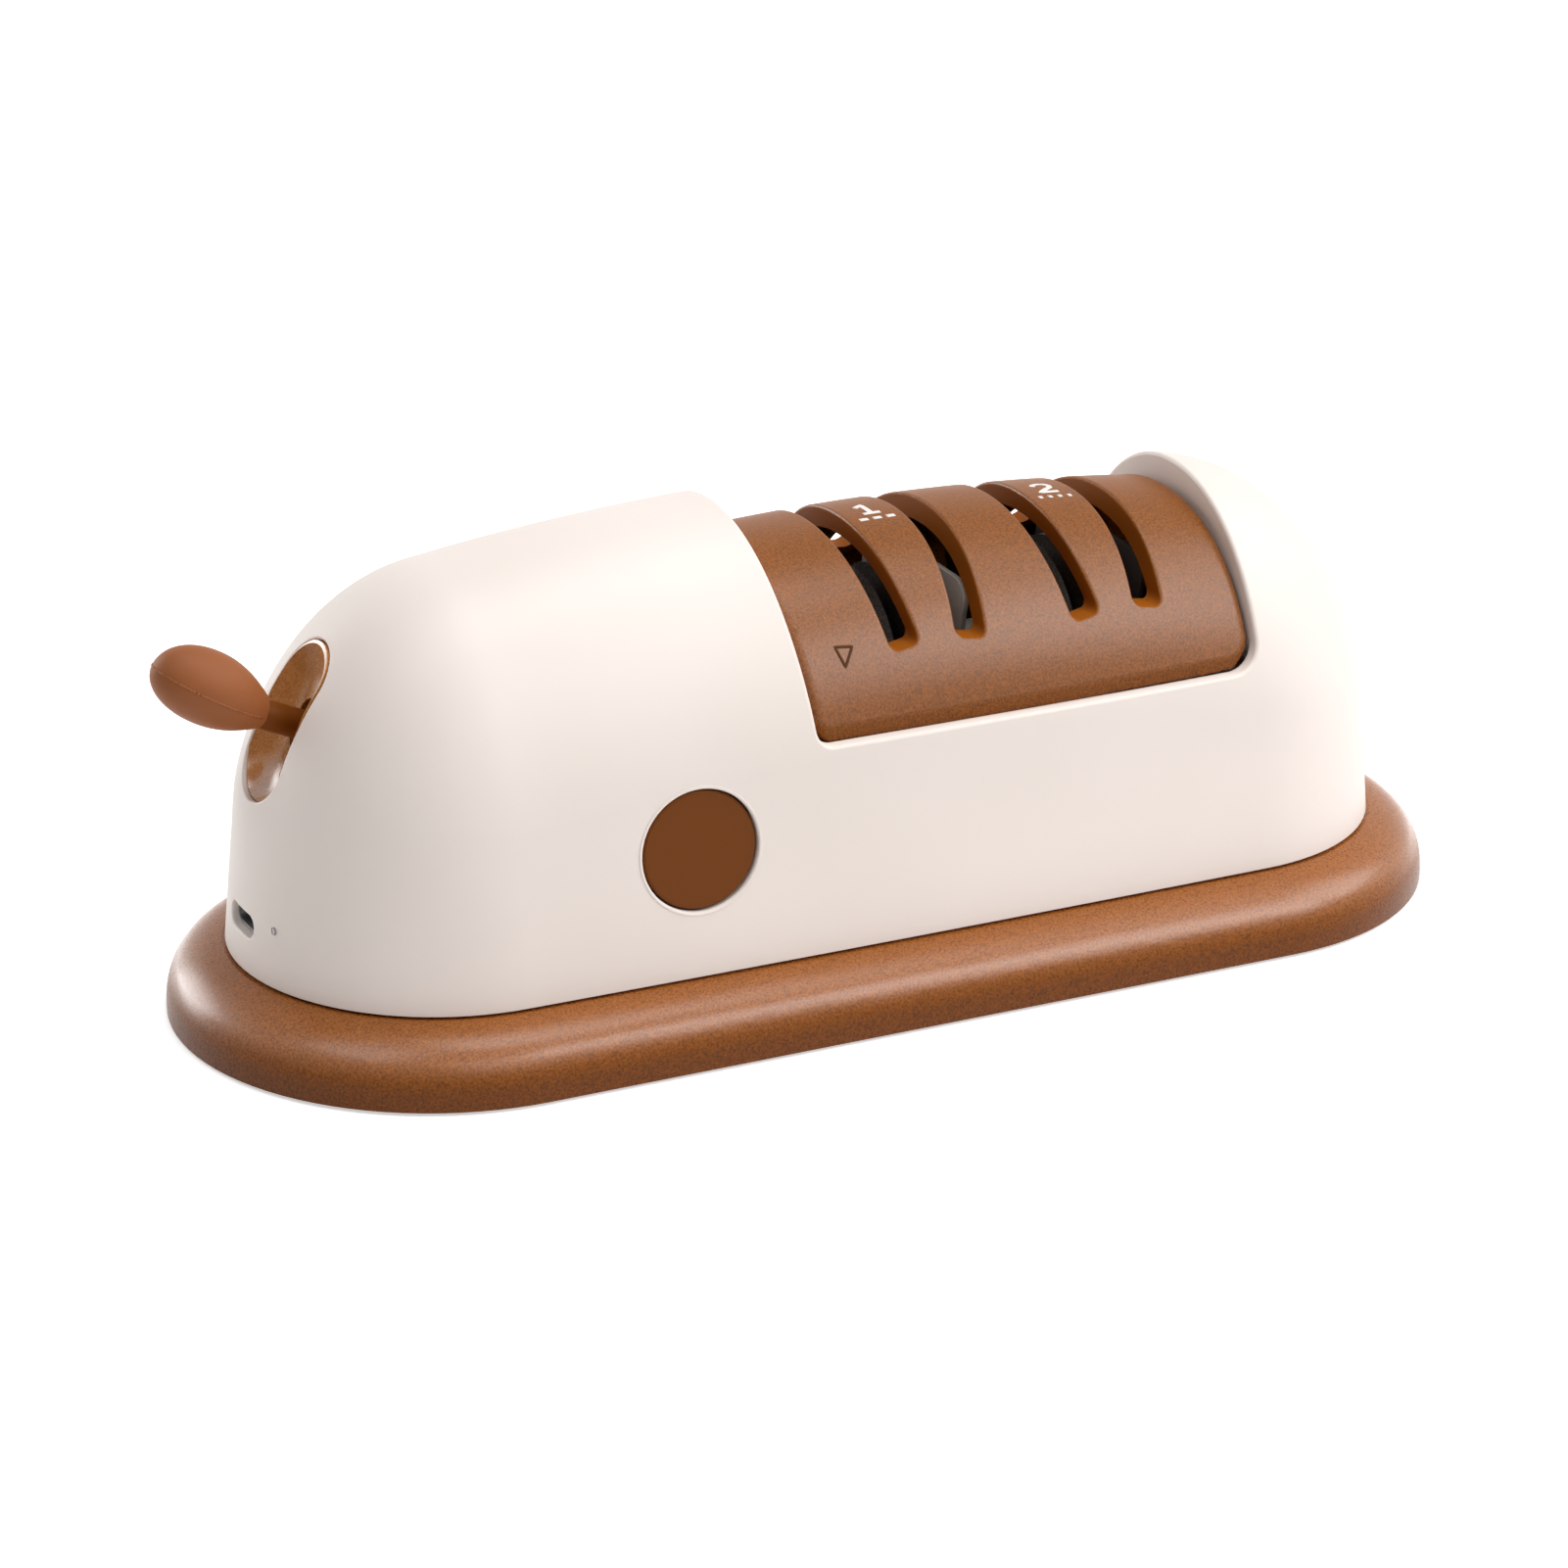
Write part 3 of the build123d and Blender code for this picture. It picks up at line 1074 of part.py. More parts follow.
def guide_pair(pair_x):
    """Two plates along the outer walls of a pair of slots, standing on the tray."""
    slope = math.tan(math.radians(SLOT_LEAN))
    cos_lean = math.cos(math.radians(SLOT_LEAN))
    inner_x = SLOT_HALF_PITCH + SLOT_W / 2 / cos_lean
    low_x = inner_x + slope * (CART_LOW_Z - SLOT_FLOOR_Z)
    high_x = inner_x + slope * (GUIDE_TOP_Z - SLOT_FLOOR_Z)
    with BuildPart() as plate_outline:
        with BuildSketch(Plane.YZ):
            with Locations((0, (CART_LOW_Z + GUIDE_TOP_Z) / 2)):
                RectangleRounded(2 * GUIDE_HALF_W, GUIDE_TOP_Z - CART_LOW_Z, 4.0)
            with Locations((0, CART_LOW_Z + 2)):
                Rectangle(2 * GUIDE_FOOT_W, 4)
            with Locations((0, SHAFT_Z)):
                Circle(6.0, mode=Mode.SUBTRACT)
        extrude(amount=80)
    with BuildPart() as plates:
        for side in (-1, 1):
            with BuildSketch(Plane.XZ):
                with BuildLine():
                    Polyline(
                        (pair_x + side * low_x, CART_LOW_Z),
                        (pair_x + side * high_x, GUIDE_TOP_Z),
                        (pair_x + side * (high_x + GUIDE_T), GUIDE_TOP_Z),
                        (pair_x + side * (low_x + GUIDE_T), CART_LOW_Z),
                        close=True,
                    )
                make_face()
            extrude(amount=30, both=True)
        add(plate_outline.part.moved(Location((-20, 0, 0))), mode=Mode.INTERSECT)
        add(cart_deep.moved(Location((0, 0, -SEAT_GAP))), mode=Mode.INTERSECT)
    return plates.part


save(guide_pair(PAIR_X[0]), "coarse_guides")
save(guide_pair(PAIR_X[1]), "fine_guides")

with BuildPart() as shaft_bushes:
    for bush_x in BUSH_X:
        add(x_rod(BUSH_R, bush_x - BUSH_L / 2, bush_x + BUSH_L / 2))
    add(x_rod(SHAFT_R + SHAFT_FIT, -20, 80), mode=Mode.SUBTRACT)
save(shaft_bushes.part, "shaft_bushes")

CLIP_T = 0.6
clip_x = (PAIR_X[0] - WHEEL_FACE - CLIP_T - 0.02, PAIR_X[1] + WHEEL_FACE + 0.02)
with BuildPart() as grinding_shaft:
    add(x_rod(SHAFT_R, SHAFT_FRONT_X, SHAFT_REAR_X))
    chamfer(grinding_shaft.edges().filter_by(GeomType.CIRCLE), 0.3)
    for groove_x in clip_x:
        with BuildSketch(Plane.YZ.offset(groove_x)):
            with Locations((0, SHAFT_Z)):
                Circle(SHAFT_R + 1)
                Circle(SHAFT_R - 0.5, mode=Mode.SUBTRACT)
        extrude(amount=CLIP_T, mode=Mode.SUBTRACT)
save(grinding_shaft.part, "grinding_shaft")

with BuildPart() as retaining_clips:
    for groove_x in clip_x:
        with BuildSketch(Plane.YZ.offset(groove_x + 0.02)):
            with Locations((0, SHAFT_Z)):
                Circle(4.3)
                Circle(SHAFT_R - 0.5 + SHAFT_FIT, mode=Mode.SUBTRACT)
            with Locations((0, SHAFT_Z + 3)):
                Rectangle(3.4, 6, mode=Mode.SUBTRACT)
        extrude(amount=CLIP_T - 0.04)
save(retaining_clips.part, "retaining_clips")

with BuildPart() as driven_dog:
    add(x_rod(DOG_R, DOG_FRONT_X, BUSH_X[0] - BUSH_L / 2 - RUNNING_GAP))
    with BuildSketch(Plane.YZ.offset(DOG_FRONT_X)):
        with Locations((0, SHAFT_Z)):
            Rectangle(TONGUE_T + 2 * RUNNING_GAP, 2 * DOG_R)
    extrude(amount=TONGUE_L - 0.6, mode=Mode.SUBTRACT)
    add(x_rod(SHAFT_R + SHAFT_FIT, SHAFT_FRONT_X, 0), mode=Mode.SUBTRACT)
save(driven_dog.part, "driven_dog")


def wheel(pair_x, side):
    """A dished grinding wheel; its grit ring faces its slot."""
    inner_x = WHEEL_FACE - WHEEL_T
    with BuildPart() as disc:
        with BuildSketch(Plane.XZ):
            with BuildLine():
                Polyline(
                    (inner_x, SHAFT_R + SHAFT_FIT),
                    (WHEEL_FACE, SHAFT_R + SHAFT_FIT),
                    (WHEEL_FACE, 5.0),
                    (WHEEL_FACE - 1.2, 6.4),
                    (WHEEL_FACE - 1.2, 8.6),
                    (WHEEL_FACE, 9.4),
                    (WHEEL_FACE, WHEEL_R - 0.5),
                    (WHEEL_FACE - 0.5, WHEEL_R),
                    (inner_x + 0.3, WHEEL_R),
                    (inner_x + 0.3, 7.0),
                    (inner_x, 6.0),
                    close=True,
                )
            make_face()
        revolve(axis=Axis.X)
    placed = disc.part if side > 0 else mirror(disc.part, about=Plane.YZ)
    return placed.moved(Location((pair_x, 0, SHAFT_Z)))


save(wheel(PAIR_X[0], -1), "coarse_wheel_left")
save(wheel(PAIR_X[0], 1), "coarse_wheel_right")
save(wheel(PAIR_X[1], -1), "fine_wheel_left")
save(wheel(PAIR_X[1], 1), "fine_wheel_right")

SPACER_GAP = 0.02
gap_half = WHEEL_FACE - WHEEL_T - SPACER_GAP
spacer_spans = [
    (PAIR_X[0] - gap_half, PAIR_X[0] + gap_half),
    (PAIR_X[0] + WHEEL_FACE + SPACER_GAP, PAIR_X[1] - WHEEL_FACE - SPACER_GAP),
    (PAIR_X[1] - gap_half, PAIR_X[1] + gap_half),
]
with BuildPart() as spacer_sleeves:
    for start_x, end_x in spacer_spans:
        add(x_rod(4.0, start_x, end_x))
    add(x_rod(SHAFT_R + SHAFT_FIT, -20, 80), mode=Mode.SUBTRACT)
save(spacer_sleeves.part, "spacer_sleeves")
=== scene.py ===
# %% [markdown]
# # An electric knife sharpener
# The sharpener is a cream moulded housing on a brown skirt. A brown cartridge with four slots lifts
# out of its top, and a leaf-shaped lever sits in the head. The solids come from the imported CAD
# model, which is the fixed frame. This file gives them their light, finishes and small marks.

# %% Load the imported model
import json
import math

import bmesh
import bpy
from mathutils import Matrix, Vector
from mathutils.bvhtree import BVHTree


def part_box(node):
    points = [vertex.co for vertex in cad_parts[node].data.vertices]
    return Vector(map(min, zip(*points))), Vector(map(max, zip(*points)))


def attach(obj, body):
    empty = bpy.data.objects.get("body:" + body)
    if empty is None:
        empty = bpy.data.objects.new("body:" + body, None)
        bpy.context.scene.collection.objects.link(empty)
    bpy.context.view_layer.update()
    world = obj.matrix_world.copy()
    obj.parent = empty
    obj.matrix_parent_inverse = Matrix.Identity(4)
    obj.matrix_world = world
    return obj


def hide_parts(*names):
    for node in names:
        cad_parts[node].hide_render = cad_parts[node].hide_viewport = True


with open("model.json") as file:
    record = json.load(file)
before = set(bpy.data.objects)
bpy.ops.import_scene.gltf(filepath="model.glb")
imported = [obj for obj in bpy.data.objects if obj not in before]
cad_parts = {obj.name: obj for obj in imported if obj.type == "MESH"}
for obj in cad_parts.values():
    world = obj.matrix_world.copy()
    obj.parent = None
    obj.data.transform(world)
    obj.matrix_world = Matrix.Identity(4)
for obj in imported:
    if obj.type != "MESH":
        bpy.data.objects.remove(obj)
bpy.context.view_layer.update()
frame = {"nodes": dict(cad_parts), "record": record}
nodes = frame["nodes"]
MM = 0.001

# %% [markdown]
# ## Camera
# The view is from the button's side, a little towards the head and from above, through a long
# lens, so that the lines of the base hardly converge. The camera is placed by its three
# directions: right, up and forward. That keeps its small roll.

# %% Place the camera
TURN, TILT, ROLL = (math.radians(a) for a in (25.82, 21.95, 0.36))
CAMERA_PLACE = (-0.33815, -0.68744, 0.33447)
SENSOR_MM = 36
LENS_MM = 115.87
forward = Vector((
    math.sin(TURN) * math.cos(TILT), math.cos(TURN) * math.cos(TILT), -math.sin(TILT)
))
level_right = Vector((math.cos(TURN), -math.sin(TURN), 0))
level_up = level_right.cross(forward)
right = math.cos(ROLL) * level_right + math.sin(ROLL) * level_up
up = -math.sin(ROLL) * level_right + math.cos(ROLL) * level_up

camera_data = bpy.data.cameras.new("camera")
camera_data.sensor_width = SENSOR_MM
camera_data.lens = LENS_MM
camera_data.clip_end = 20
camera = bpy.data.objects.new("camera", camera_data)
columns = Matrix((right, up, -forward)).transposed()
camera.matrix_world = Matrix.Translation(CAMERA_PLACE) @ columns.to_4x4()
bpy.context.scene.collection.objects.link(camera)
bpy.context.scene.camera = camera
bpy.context.scene.view_settings.view_transform = "Standard"
print("camera at", [round(v, 3) for v in camera.location], "lens", camera_data.lens)

# %% [markdown]
# ## Helpers for materials
# A finish is a graph of nodes. One function turns a written sRGB colour to the linear values that
# Blender works in. Another adds a node with its settings and links, so that a graph reads like a
# list.


# %% Colour and node helpers
def linear(hex_colour):
    """A colour written as sRGB hex, such as "#8A5226", as linear RGBA."""
    parts = [int(hex_colour[i : i + 2], 16) / 255 for i in (1, 3, 5)]
    return [c / 12.92 if c <= 0.04045 else ((c + 0.055) / 1.055) ** 2.4 for c in parts] + [1.0]


def add_node(tree, kind, settings=None, **inputs):
    """Adds a node. Settings are its own values. Inputs are numbers, colours or nodes' outputs.

    An input is called by its name, or by i and its number where names repeat, as in i0.
    """
    made = tree.nodes.new(kind)
    for name, value in (settings or {}).items():
        setattr(made, name, value)
    for name, value in inputs.items():
        key = int(name[1:]) if name[0] == "i" and name[1:].isdigit() else name.replace("_", " ")
        if isinstance(value, bpy.types.NodeSocket):
            tree.links.new(value, made.inputs[key])
        else:
            made.inputs[key].default_value = value
    return made


def new_material(name, colour, roughness, metallic=0.0):
    """A material with a Principled shader, and its tree and shader."""
    made = bpy.data.materials.new(name)
    made.use_nodes = True
    shader = made.node_tree.nodes["Principled BSDF"]
    shader.inputs["Base Color"].default_value = linear(colour)
    shader.inputs["Roughness"].default_value = roughness
    shader.inputs["Metallic"].default_value = metallic
    made.diffuse_color = linear(colour)
    return made, made.node_tree, shader


def ramp_between(tree, factor, low, high, start=0.0, end=1.0):
    """A colour that runs from low to high as factor goes from start to end."""
    made = add_node(tree, "ShaderNodeValToRGB", Fac=factor)
    first, last = made.color_ramp.elements
    first.position, last.position = start, end
    first.color, last.color = linear(low), linear(high)
    return made.outputs["Color"]


def object_noise(tree, size_mm, detail=2.0, roughness=0.5):
    """Noise whose blobs are about size_mm across on the object."""
    place = add_node(tree, "ShaderNodeTexCoord").outputs["Object"]
    made = add_node(
        tree, "ShaderNodeTexNoise", Vector=place, Scale=1 / (size_mm * MM), Detail=detail,
        Roughness=roughness,
    )
    return made.outputs["Fac"]


def bump(tree, shader, height, depth_mm, strength=1.0):
    """Lets height push the surface by depth_mm, as the shader sees it."""
    made = add_node(
        tree, "ShaderNodeBump", Strength=strength, Distance=depth_mm * MM, Height=height
    )
    tree.links.new(made.outputs["Normal"], shader.inputs["Normal"])


finishes = {}
print("helpers ready")

# %% [markdown]
# ## Cream housing
# The housing is ABS, injection moulded in a mould with a fine matt texture. ABS has an IOR of about
# 1.53. The matt skin spreads the light widely, so its roughness is near 0.5 and its highlights are
# broad and soft. A slow drift of colour keeps the large sides from looking painted.

# %% Matt cream ABS
ABS_IOR = 1.53
DRIFT_MM = 45
# The mould's texture has a grain of about 0.1 mm; 0.35 mm is the finest that shows here.
CREAM_GRAIN_MM = 0.35
CREAM_GRAIN_DEPTH_MM = 0.012
cream, tree, shader = new_material("matt_cream_abs", "#EDE2DB", 0.50)
shader.inputs["IOR"].default_value = ABS_IOR
drift = object_noise(tree, DRIFT_MM, detail=1.0)
drifting_cream = ramp_between(tree, drift, "#EBE0D8", "#F0E5DE", 0.35, 0.65)
tree.links.new(drifting_cream, shader.inputs["Base Color"])
bump(tree, shader, object_noise(tree, CREAM_GRAIN_MM), CREAM_GRAIN_DEPTH_MM, 0.35)
finishes["cream_shell"] = cream
print(cream.name)

# %% [markdown]
# ## Spark-textured brown plastic
# The skirt, the cartridge and the dish are brown ABS from a spark-eroded mould. The faces that look
# up are painted a little paler, as painted light from above, and carry a painted sheen in a coat;
# the upright faces stay deep brown. The object's normals tell the two apart, and fine noise draws
# the grains.


# %% Brown spark-textured ABS
# Spark texture has craters of 0.1 to 0.2 mm; drawn at 0.38 mm so that the grain shows.
SPARK_MM = 0.38
SPARK_DEPTH_MM = 0.09
ROUGH_SPREAD = 0.08


def spark_brown(name, upright, upward_painted_light, roughness, sheen_from, sheen_to, level_sheen):
    """Brown textured plastic: two browns for upright faces and two paler ones for faces that look
    up, whose paleness is painted light from above.

    The coat is a painted sheen on faces that look up. It starts where the normal's rise is
    sheen_from, is full at sheen_to, and has fallen to level_sheen on level faces.
    """
    made, tree, shader = new_material(name, upright[0], roughness)
    shader.inputs["IOR"].default_value = ABS_IOR
    shader.inputs["Specular IOR Level"].default_value = 0.14
    grain = object_noise(tree, SPARK_MM, detail=3.0, roughness=0.6)
    normal = add_node(tree, "ShaderNodeTexCoord").outputs["Normal"]
    rise = add_node(tree, "ShaderNodeSeparateXYZ", Vector=normal).outputs["Z"]
    # Faces that look up get the paler browns: painted light from above.
    painted_light_share = add_node(tree, "ShaderNodeMapRange", Value=rise, From_Min=0.1, From_Max=0.6)
    # The Mix node takes its two colours at inputs 6 and 7, and gives a colour at output 2.
    colour = add_node(
        tree, "ShaderNodeMix", {"data_type": "RGBA"}, i0=painted_light_share.outputs["Result"],
        i6=ramp_between(tree, grain, *upright, 0.34, 0.66),
        i7=ramp_between(tree, grain, *upward_painted_light, 0.34, 0.66),
    )
    tree.links.new(colour.outputs[2], shader.inputs["Base Color"])
    rough = add_node(
        tree, "ShaderNodeMapRange", Value=grain, From_Min=0.3, From_Max=0.7,
        To_Min=roughness - ROUGH_SPREAD, To_Max=roughness + ROUGH_SPREAD,
    )
    tree.links.new(rough.outputs["Result"], shader.inputs["Roughness"])
    # The coat weight follows the normal's rise: a painted sheen on faces that look up.
    painted_sheen = add_node(tree, "ShaderNodeValToRGB", Fac=rise)
    none, full = painted_sheen.color_ramp.elements
    none.position, full.position = sheen_from, sheen_to
    level = painted_sheen.color_ramp.elements.new(0.98)
    none.color, full.color = (0, 0, 0, 1), (1, 1, 1, 1)
    level.color = (level_sheen, level_sheen, level_sheen, 1)
    tree.links.new(painted_sheen.outputs["Color"], shader.inputs["Coat Weight"])
    shader.inputs["Coat Roughness"].default_value = roughness - 0.04
    bump(tree, shader, grain, SPARK_DEPTH_MM, 0.8)
    return made


# The second pair of browns is paler: painted light on faces that look up.
finishes["brown_textured"] = spark_brown(
    "spark_textured_brown_abs", ("#582E08", "#824614"), ("#794318", "#AA662C"),
    roughness=0.30, sheen_from=0.3, sheen_to=0.64, level_sheen=0.1,
)
print(finishes["brown_textured"].name)


# %% [markdown]
# ## Smooth plastics, rubber and metal
# The button has hardly any shine, so it looks deeper and darker than the textured parts. The leaf
# is matt silicone rubber. Inside are black and white moulded parts, ground and plated steel,
# sintered bronze and the grit of the wheels.


# %% Smooth moulded plastics
def moulded(name, colour, roughness, ior=1.50, grain_mm=0.8, depth_mm=0.006, shine=0.5):
    """A plain moulded plastic with the faint unevenness of a mould's skin."""
    made, tree, shader = new_material(name, colour, roughness)
    shader.inputs["IOR"].default_value = ior
    shader.inputs["Specular IOR Level"].default_value = shine
    bump(tree, shader, object_noise(tree, grain_mm), depth_mm, 0.5)
    return made


finishes["brown_satin"] = moulded(
    "satin_brown_abs", "#6E3A0C", 0.42, ABS_IOR, 0.5, 0.01, shine=0.12
)
finishes["leaf_silicone"] = moulded(
    "terracotta_silicone", "#925630", 0.55, 1.41, 0.6, 0.01, shine=0.3
)
finishes["black_plastic"] = moulded("black_abs", "#211D1B", 0.5, shine=0.3)
finishes["dark_brown_plastic"] = moulded("dark_brown_abs", "#3A2114", 0.5)
finishes["pad_rubber"] = moulded("black_rubber", "#1E1E1E", 0.75, 1.52)
finishes["guide_grey"] = moulded("grey_acetal", "#B9B2AB", 0.45, 1.48)
finishes["guide_dark"] = moulded("charcoal_acetal", "#352F2C", 0.45, 1.48, shine=0.25)
finishes["chip_black"] = moulded("black_epoxy", "#181818", 0.3, 1.55)
finishes["clear_pipe"] = moulded("clear_polycarbonate", "#8A8580", 0.12, 1.585)
finishes["white_nylon"] = moulded("natural_nylon", "#E6E2D4", 0.4, 1.53)
finishes["switch_black"] = moulded("black_nylon", "#1B1A1A", 0.45, 1.53)
finishes["board_green"] = moulded("solder_mask_green", "#1E5A32", 0.3, 1.5, 1.5, 0.01)
finishes["cell_wrap"] = moulded("blue_pvc_wrap", "#2A5AA8", 0.35, 1.53)
print(len(finishes), "finishes so far")


# %% Steel, bronze, nickel and grit
def metal(name, colour, roughness, streak_mm=0.2, along="x"):
    """Metal whose finish leaves fine streaks along one axis."""
    made, tree, shader = new_material(name, colour, roughness, 1.0)
    place = add_node(tree, "ShaderNodeTexCoord").outputs["Object"]
    stretch = {"x": (0.04, 1, 1), "y": (1, 0.04, 1), "z": (1, 1, 0.04)}[along]
    drawn = add_node(tree, "ShaderNodeMapping", Vector=place, Scale=stretch)
    streaks = add_node(
        tree, "ShaderNodeTexNoise", Vector=drawn.outputs["Vector"], Scale=1 / (streak_mm * MM)
    ).outputs["Fac"]
    rough = add_node(
        tree, "ShaderNodeMapRange", Value=streaks, To_Min=roughness - 0.08, To_Max=roughness + 0.08
    )
    tree.links.new(rough.outputs["Result"], shader.inputs["Roughness"])
    bump(tree, shader, streaks, 0.004, 0.4)
    return made


def grit(name, colour, bright, grain_mm):
    """Abrasive grains set in a plated metal surface."""
    made, tree, shader = new_material(name, colour, 0.6, 0.35)
    place = add_node(tree, "ShaderNodeTexCoord").outputs["Object"]
    cells = add_node(tree, "ShaderNodeTexVoronoi", Vector=place, Scale=1 / (grain_mm * MM))
    tree.links.new(
        ramp_between(tree, cells.outputs["Distance"], bright, colour, 0.0, 0.5),
        shader.inputs["Base Color"],
    )
    bump(tree, shader, cells.outputs["Distance"], 0.1, 0.8)
    return made


finishes["zinc_screw"] = metal("zinc_plated_steel", "#B9BCC0", 0.35)
finishes["motor_steel"] = metal("drawn_plated_steel", "#AEB0B3", 0.32)
finishes["ground_steel"] = metal("ground_steel", "#C3C4C6", 0.22)
finishes["rotor_steel"] = metal("stacked_sheet_steel", "#7E7B78", 0.4, 0.3, "z")
finishes["nickel_tab"] = metal("nickel_strip", "#C2BBB0", 0.3)
finishes["bronze_bush"] = metal("sintered_bronze", "#A87C4A", 0.5)
finishes["socket_steel"] = metal("stamped_steel", "#A9AAAC", 0.35)
# The grits are about 0.1 mm and 0.03 mm; both are drawn coarser so that they show.
finishes["coarse_grit"] = grit("coarse_diamond_grit", "#2E2520", "#6B5F56", 0.35)
finishes["fine_grit"] = grit("fine_diamond_grit", "#3A302A", "#756A61", 0.25)
print(len(finishes), "finishes in all")

# %% [markdown]
# ## Give every solid its finish
# Each solid of the frame names a material slot in the imported record. The finish made for that slot
# goes on the solid as it stands.

# %% Assign the finishes
slot_of = {p["node"]: p["material_slot"] for p in frame["record"]["subparts"]}
for name, solid in nodes.items():
    solid.data.materials.clear()
    solid.data.materials.append(finishes[slot_of[name]])
print("finishes on", len(nodes), "solids")

# %% Painted light in the dish's and the cartridge's copies of the brown
# The dish and the cartridge have their own copies of the skirt's brown. The dish's copy is painted
# much paler, and its coat is strong, with a high IOR, on faces that look up: painted light and a
# painted sheen. The cartridge's copy is more matt than the skirt, a little paler as painted light,
# and keeps nearly one brown all over.
dish_brown_painted_light = spark_brown(
    "dish_brown_abs_painted_light", ("#B0743C", "#CC9056"), ("#B0743C", "#CC9056"),
    roughness=0.28, sheen_from=0.3, sheen_to=0.65, level_sheen=1.0,
)
# A coat IOR of 2.1 makes the dish's painted sheen stronger.
dish_brown_painted_light.node_tree.nodes["Principled BSDF"].inputs["Coat IOR"].default_value = 2.1
cartridge_brown_painted_light = spark_brown(
    "matt_brown_abs_painted_light", ("#62360C", "#90511B"), ("#683A0E", "#96571E"),
    roughness=0.38, sheen_from=0.05, sheen_to=0.4, level_sheen=0.05,
)
nodes["lever_dish"].data.materials[0] = dish_brown_painted_light
nodes["cartridge_shell"].data.materials[0] = cartridge_brown_painted_light
print(dish_brown_painted_light.name, cartridge_brown_painted_light.name)

# %% [markdown]
# ## Lines laid on a surface
# The printed numbers, the moulded arrow, the lip round the button and the leaf's parting line are
# all thin lines that lie on a curved surface. They could be pictures, but real raised lines catch
# the light. Each line follows its corners in small steps, and every step is put on the nearest
# place of the surface.


# %% Lay a raised line
LINE_SIDES = 6  # flat faces across a line's round back


def search_tree(node):
    """A solid's surface, ready to be asked for its nearest place."""
    return BVHTree.FromObject(nodes[node], bpy.context.evaluated_depsgraph_get())


def even_steps(corners, step, closed):
    """Points along the corners, about one step apart."""
    ends = corners[1:] + corners[:1] if closed else corners[1:]
    points = []
    for start, end in zip(corners, ends):
        count = max(1, round((end - start).length / step))
        points += [start.lerp(end, i / count) for i in range(count)]
    return points if closed else points + [corners[-1]]


def lay_line(shape, surface, corners, width, height, closed=False):
    """Adds to shape a raised line with a round back, laid on the surface along the corners."""
    points = even_steps(corners, width / 2, closed)
    last = len(points) - 1
    rows = []
    for i, point in enumerate(points):
        before = points[i - 1] if closed or i else point
        after = points[(i + 1) % len(points)] if closed or i < last else point
        place, normal = surface.find_nearest(point)[:2]
        side = (after - before).cross(normal).normalized()
        turns = [math.pi * k / LINE_SIDES for k in range(LINE_SIDES + 1)]
        rows.append([
            shape.verts.new(
                place + side * math.cos(t) * width / 2 + normal * math.sin(t) * height
            )
            for t in turns
        ])
    follow = rows[1:] + rows[:1] if closed else rows[1:]
    for here, there in zip(rows, follow):
        for a, b, c, d in zip(here, here[1:], there[1:], there):
            shape.faces.new((a, b, c, d))
    if not closed:
        shape.faces.new(rows[0])
        shape.faces.new(list(reversed(rows[-1])))


def finish_piece(shape, name, material, body):
    """Turns a bmesh into a smooth piece that rides on a body."""
    bmesh.ops.recalc_face_normals(shape, faces=shape.faces)
    mesh = bpy.data.meshes.new(name)
    shape.to_mesh(mesh)
    shape.free()
    mesh.materials.append(material)
    mesh.shade_smooth()
    piece = bpy.data.objects.new(name, mesh)
    bpy.context.scene.collection.objects.link(piece)
    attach(piece, body)
    return piece


print("line helpers ready")

# %% [markdown]
# ## Numbers on the cartridge
# A number is printed beside each pair of slots: 1 for the coarse pair and 2 for the fine pair, each
# over a row of short bars. Pad printing leaves a film of about 0.02 mm; it is drawn 0.05 mm thick.

# %% Printed numbers
white_ink = moulded("white_pad_ink", "#EDE6E1", 0.5, 1.5, 0.3, 0.002)
cartridge_surface = search_tree("cartridge_shell")
# Lengths in the tables are millimetres, from the middle of a number.
INK_WIDTH = 0.95 * MM
INK_HEIGHT = 0.05 * MM
STROKES = {
    1: [[(-1.5, 1.5), (0.0, 2.7), (0.0, -1.6)], [(-1.5, -1.6), (1.5, -1.6)]],
    2: [[(-1.6, 1.5), (-1.0, 2.5), (0.0, 2.8), (1.0, 2.5), (1.5, 1.6), (1.2, 0.6), (-1.6, -1.6),
         (1.7, -1.6)]],
}
BARS = {1: (-2.4, 0.0, 2.4), 2: (-2.7, -0.9, 0.9, 2.7)}
BAR_HALF = {1: 0.75, 2: 0.35}
BAR_ALONG = -3.7
NUMBER_X = {1: 9.0, 2: 41.6}
CROWN_Z = 72.0


def on_crown(number, across, along):
    """A place beside a pair of slots, across towards the tail and along away from the button."""
    return Vector((NUMBER_X[number] + across, along, CROWN_Z)) * MM


for number, strokes in STROKES.items():
    shape = bmesh.new()
    for stroke in strokes:
        corners = [on_crown(number, u, v) for u, v in stroke]
        lay_line(shape, cartridge_surface, corners, INK_WIDTH, INK_HEIGHT)
    for middle in BARS[number]:
        bar_ends = (middle - BAR_HALF[number], middle + BAR_HALF[number])
        corners = [on_crown(number, end, BAR_ALONG) for end in bar_ends]
        lay_line(shape, cartridge_surface, corners, INK_WIDTH, INK_HEIGHT)
    finish_piece(shape, f"printed_number_{number}", white_ink, "cartridge")
print("numbers 1 and 2 printed")

# %% [markdown]
# ## Arrow on the cartridge
# A small triangle is moulded on the cartridge's side and shows which way it goes in. Its line is
# 0.5 mm wide and stands 0.15 mm proud.

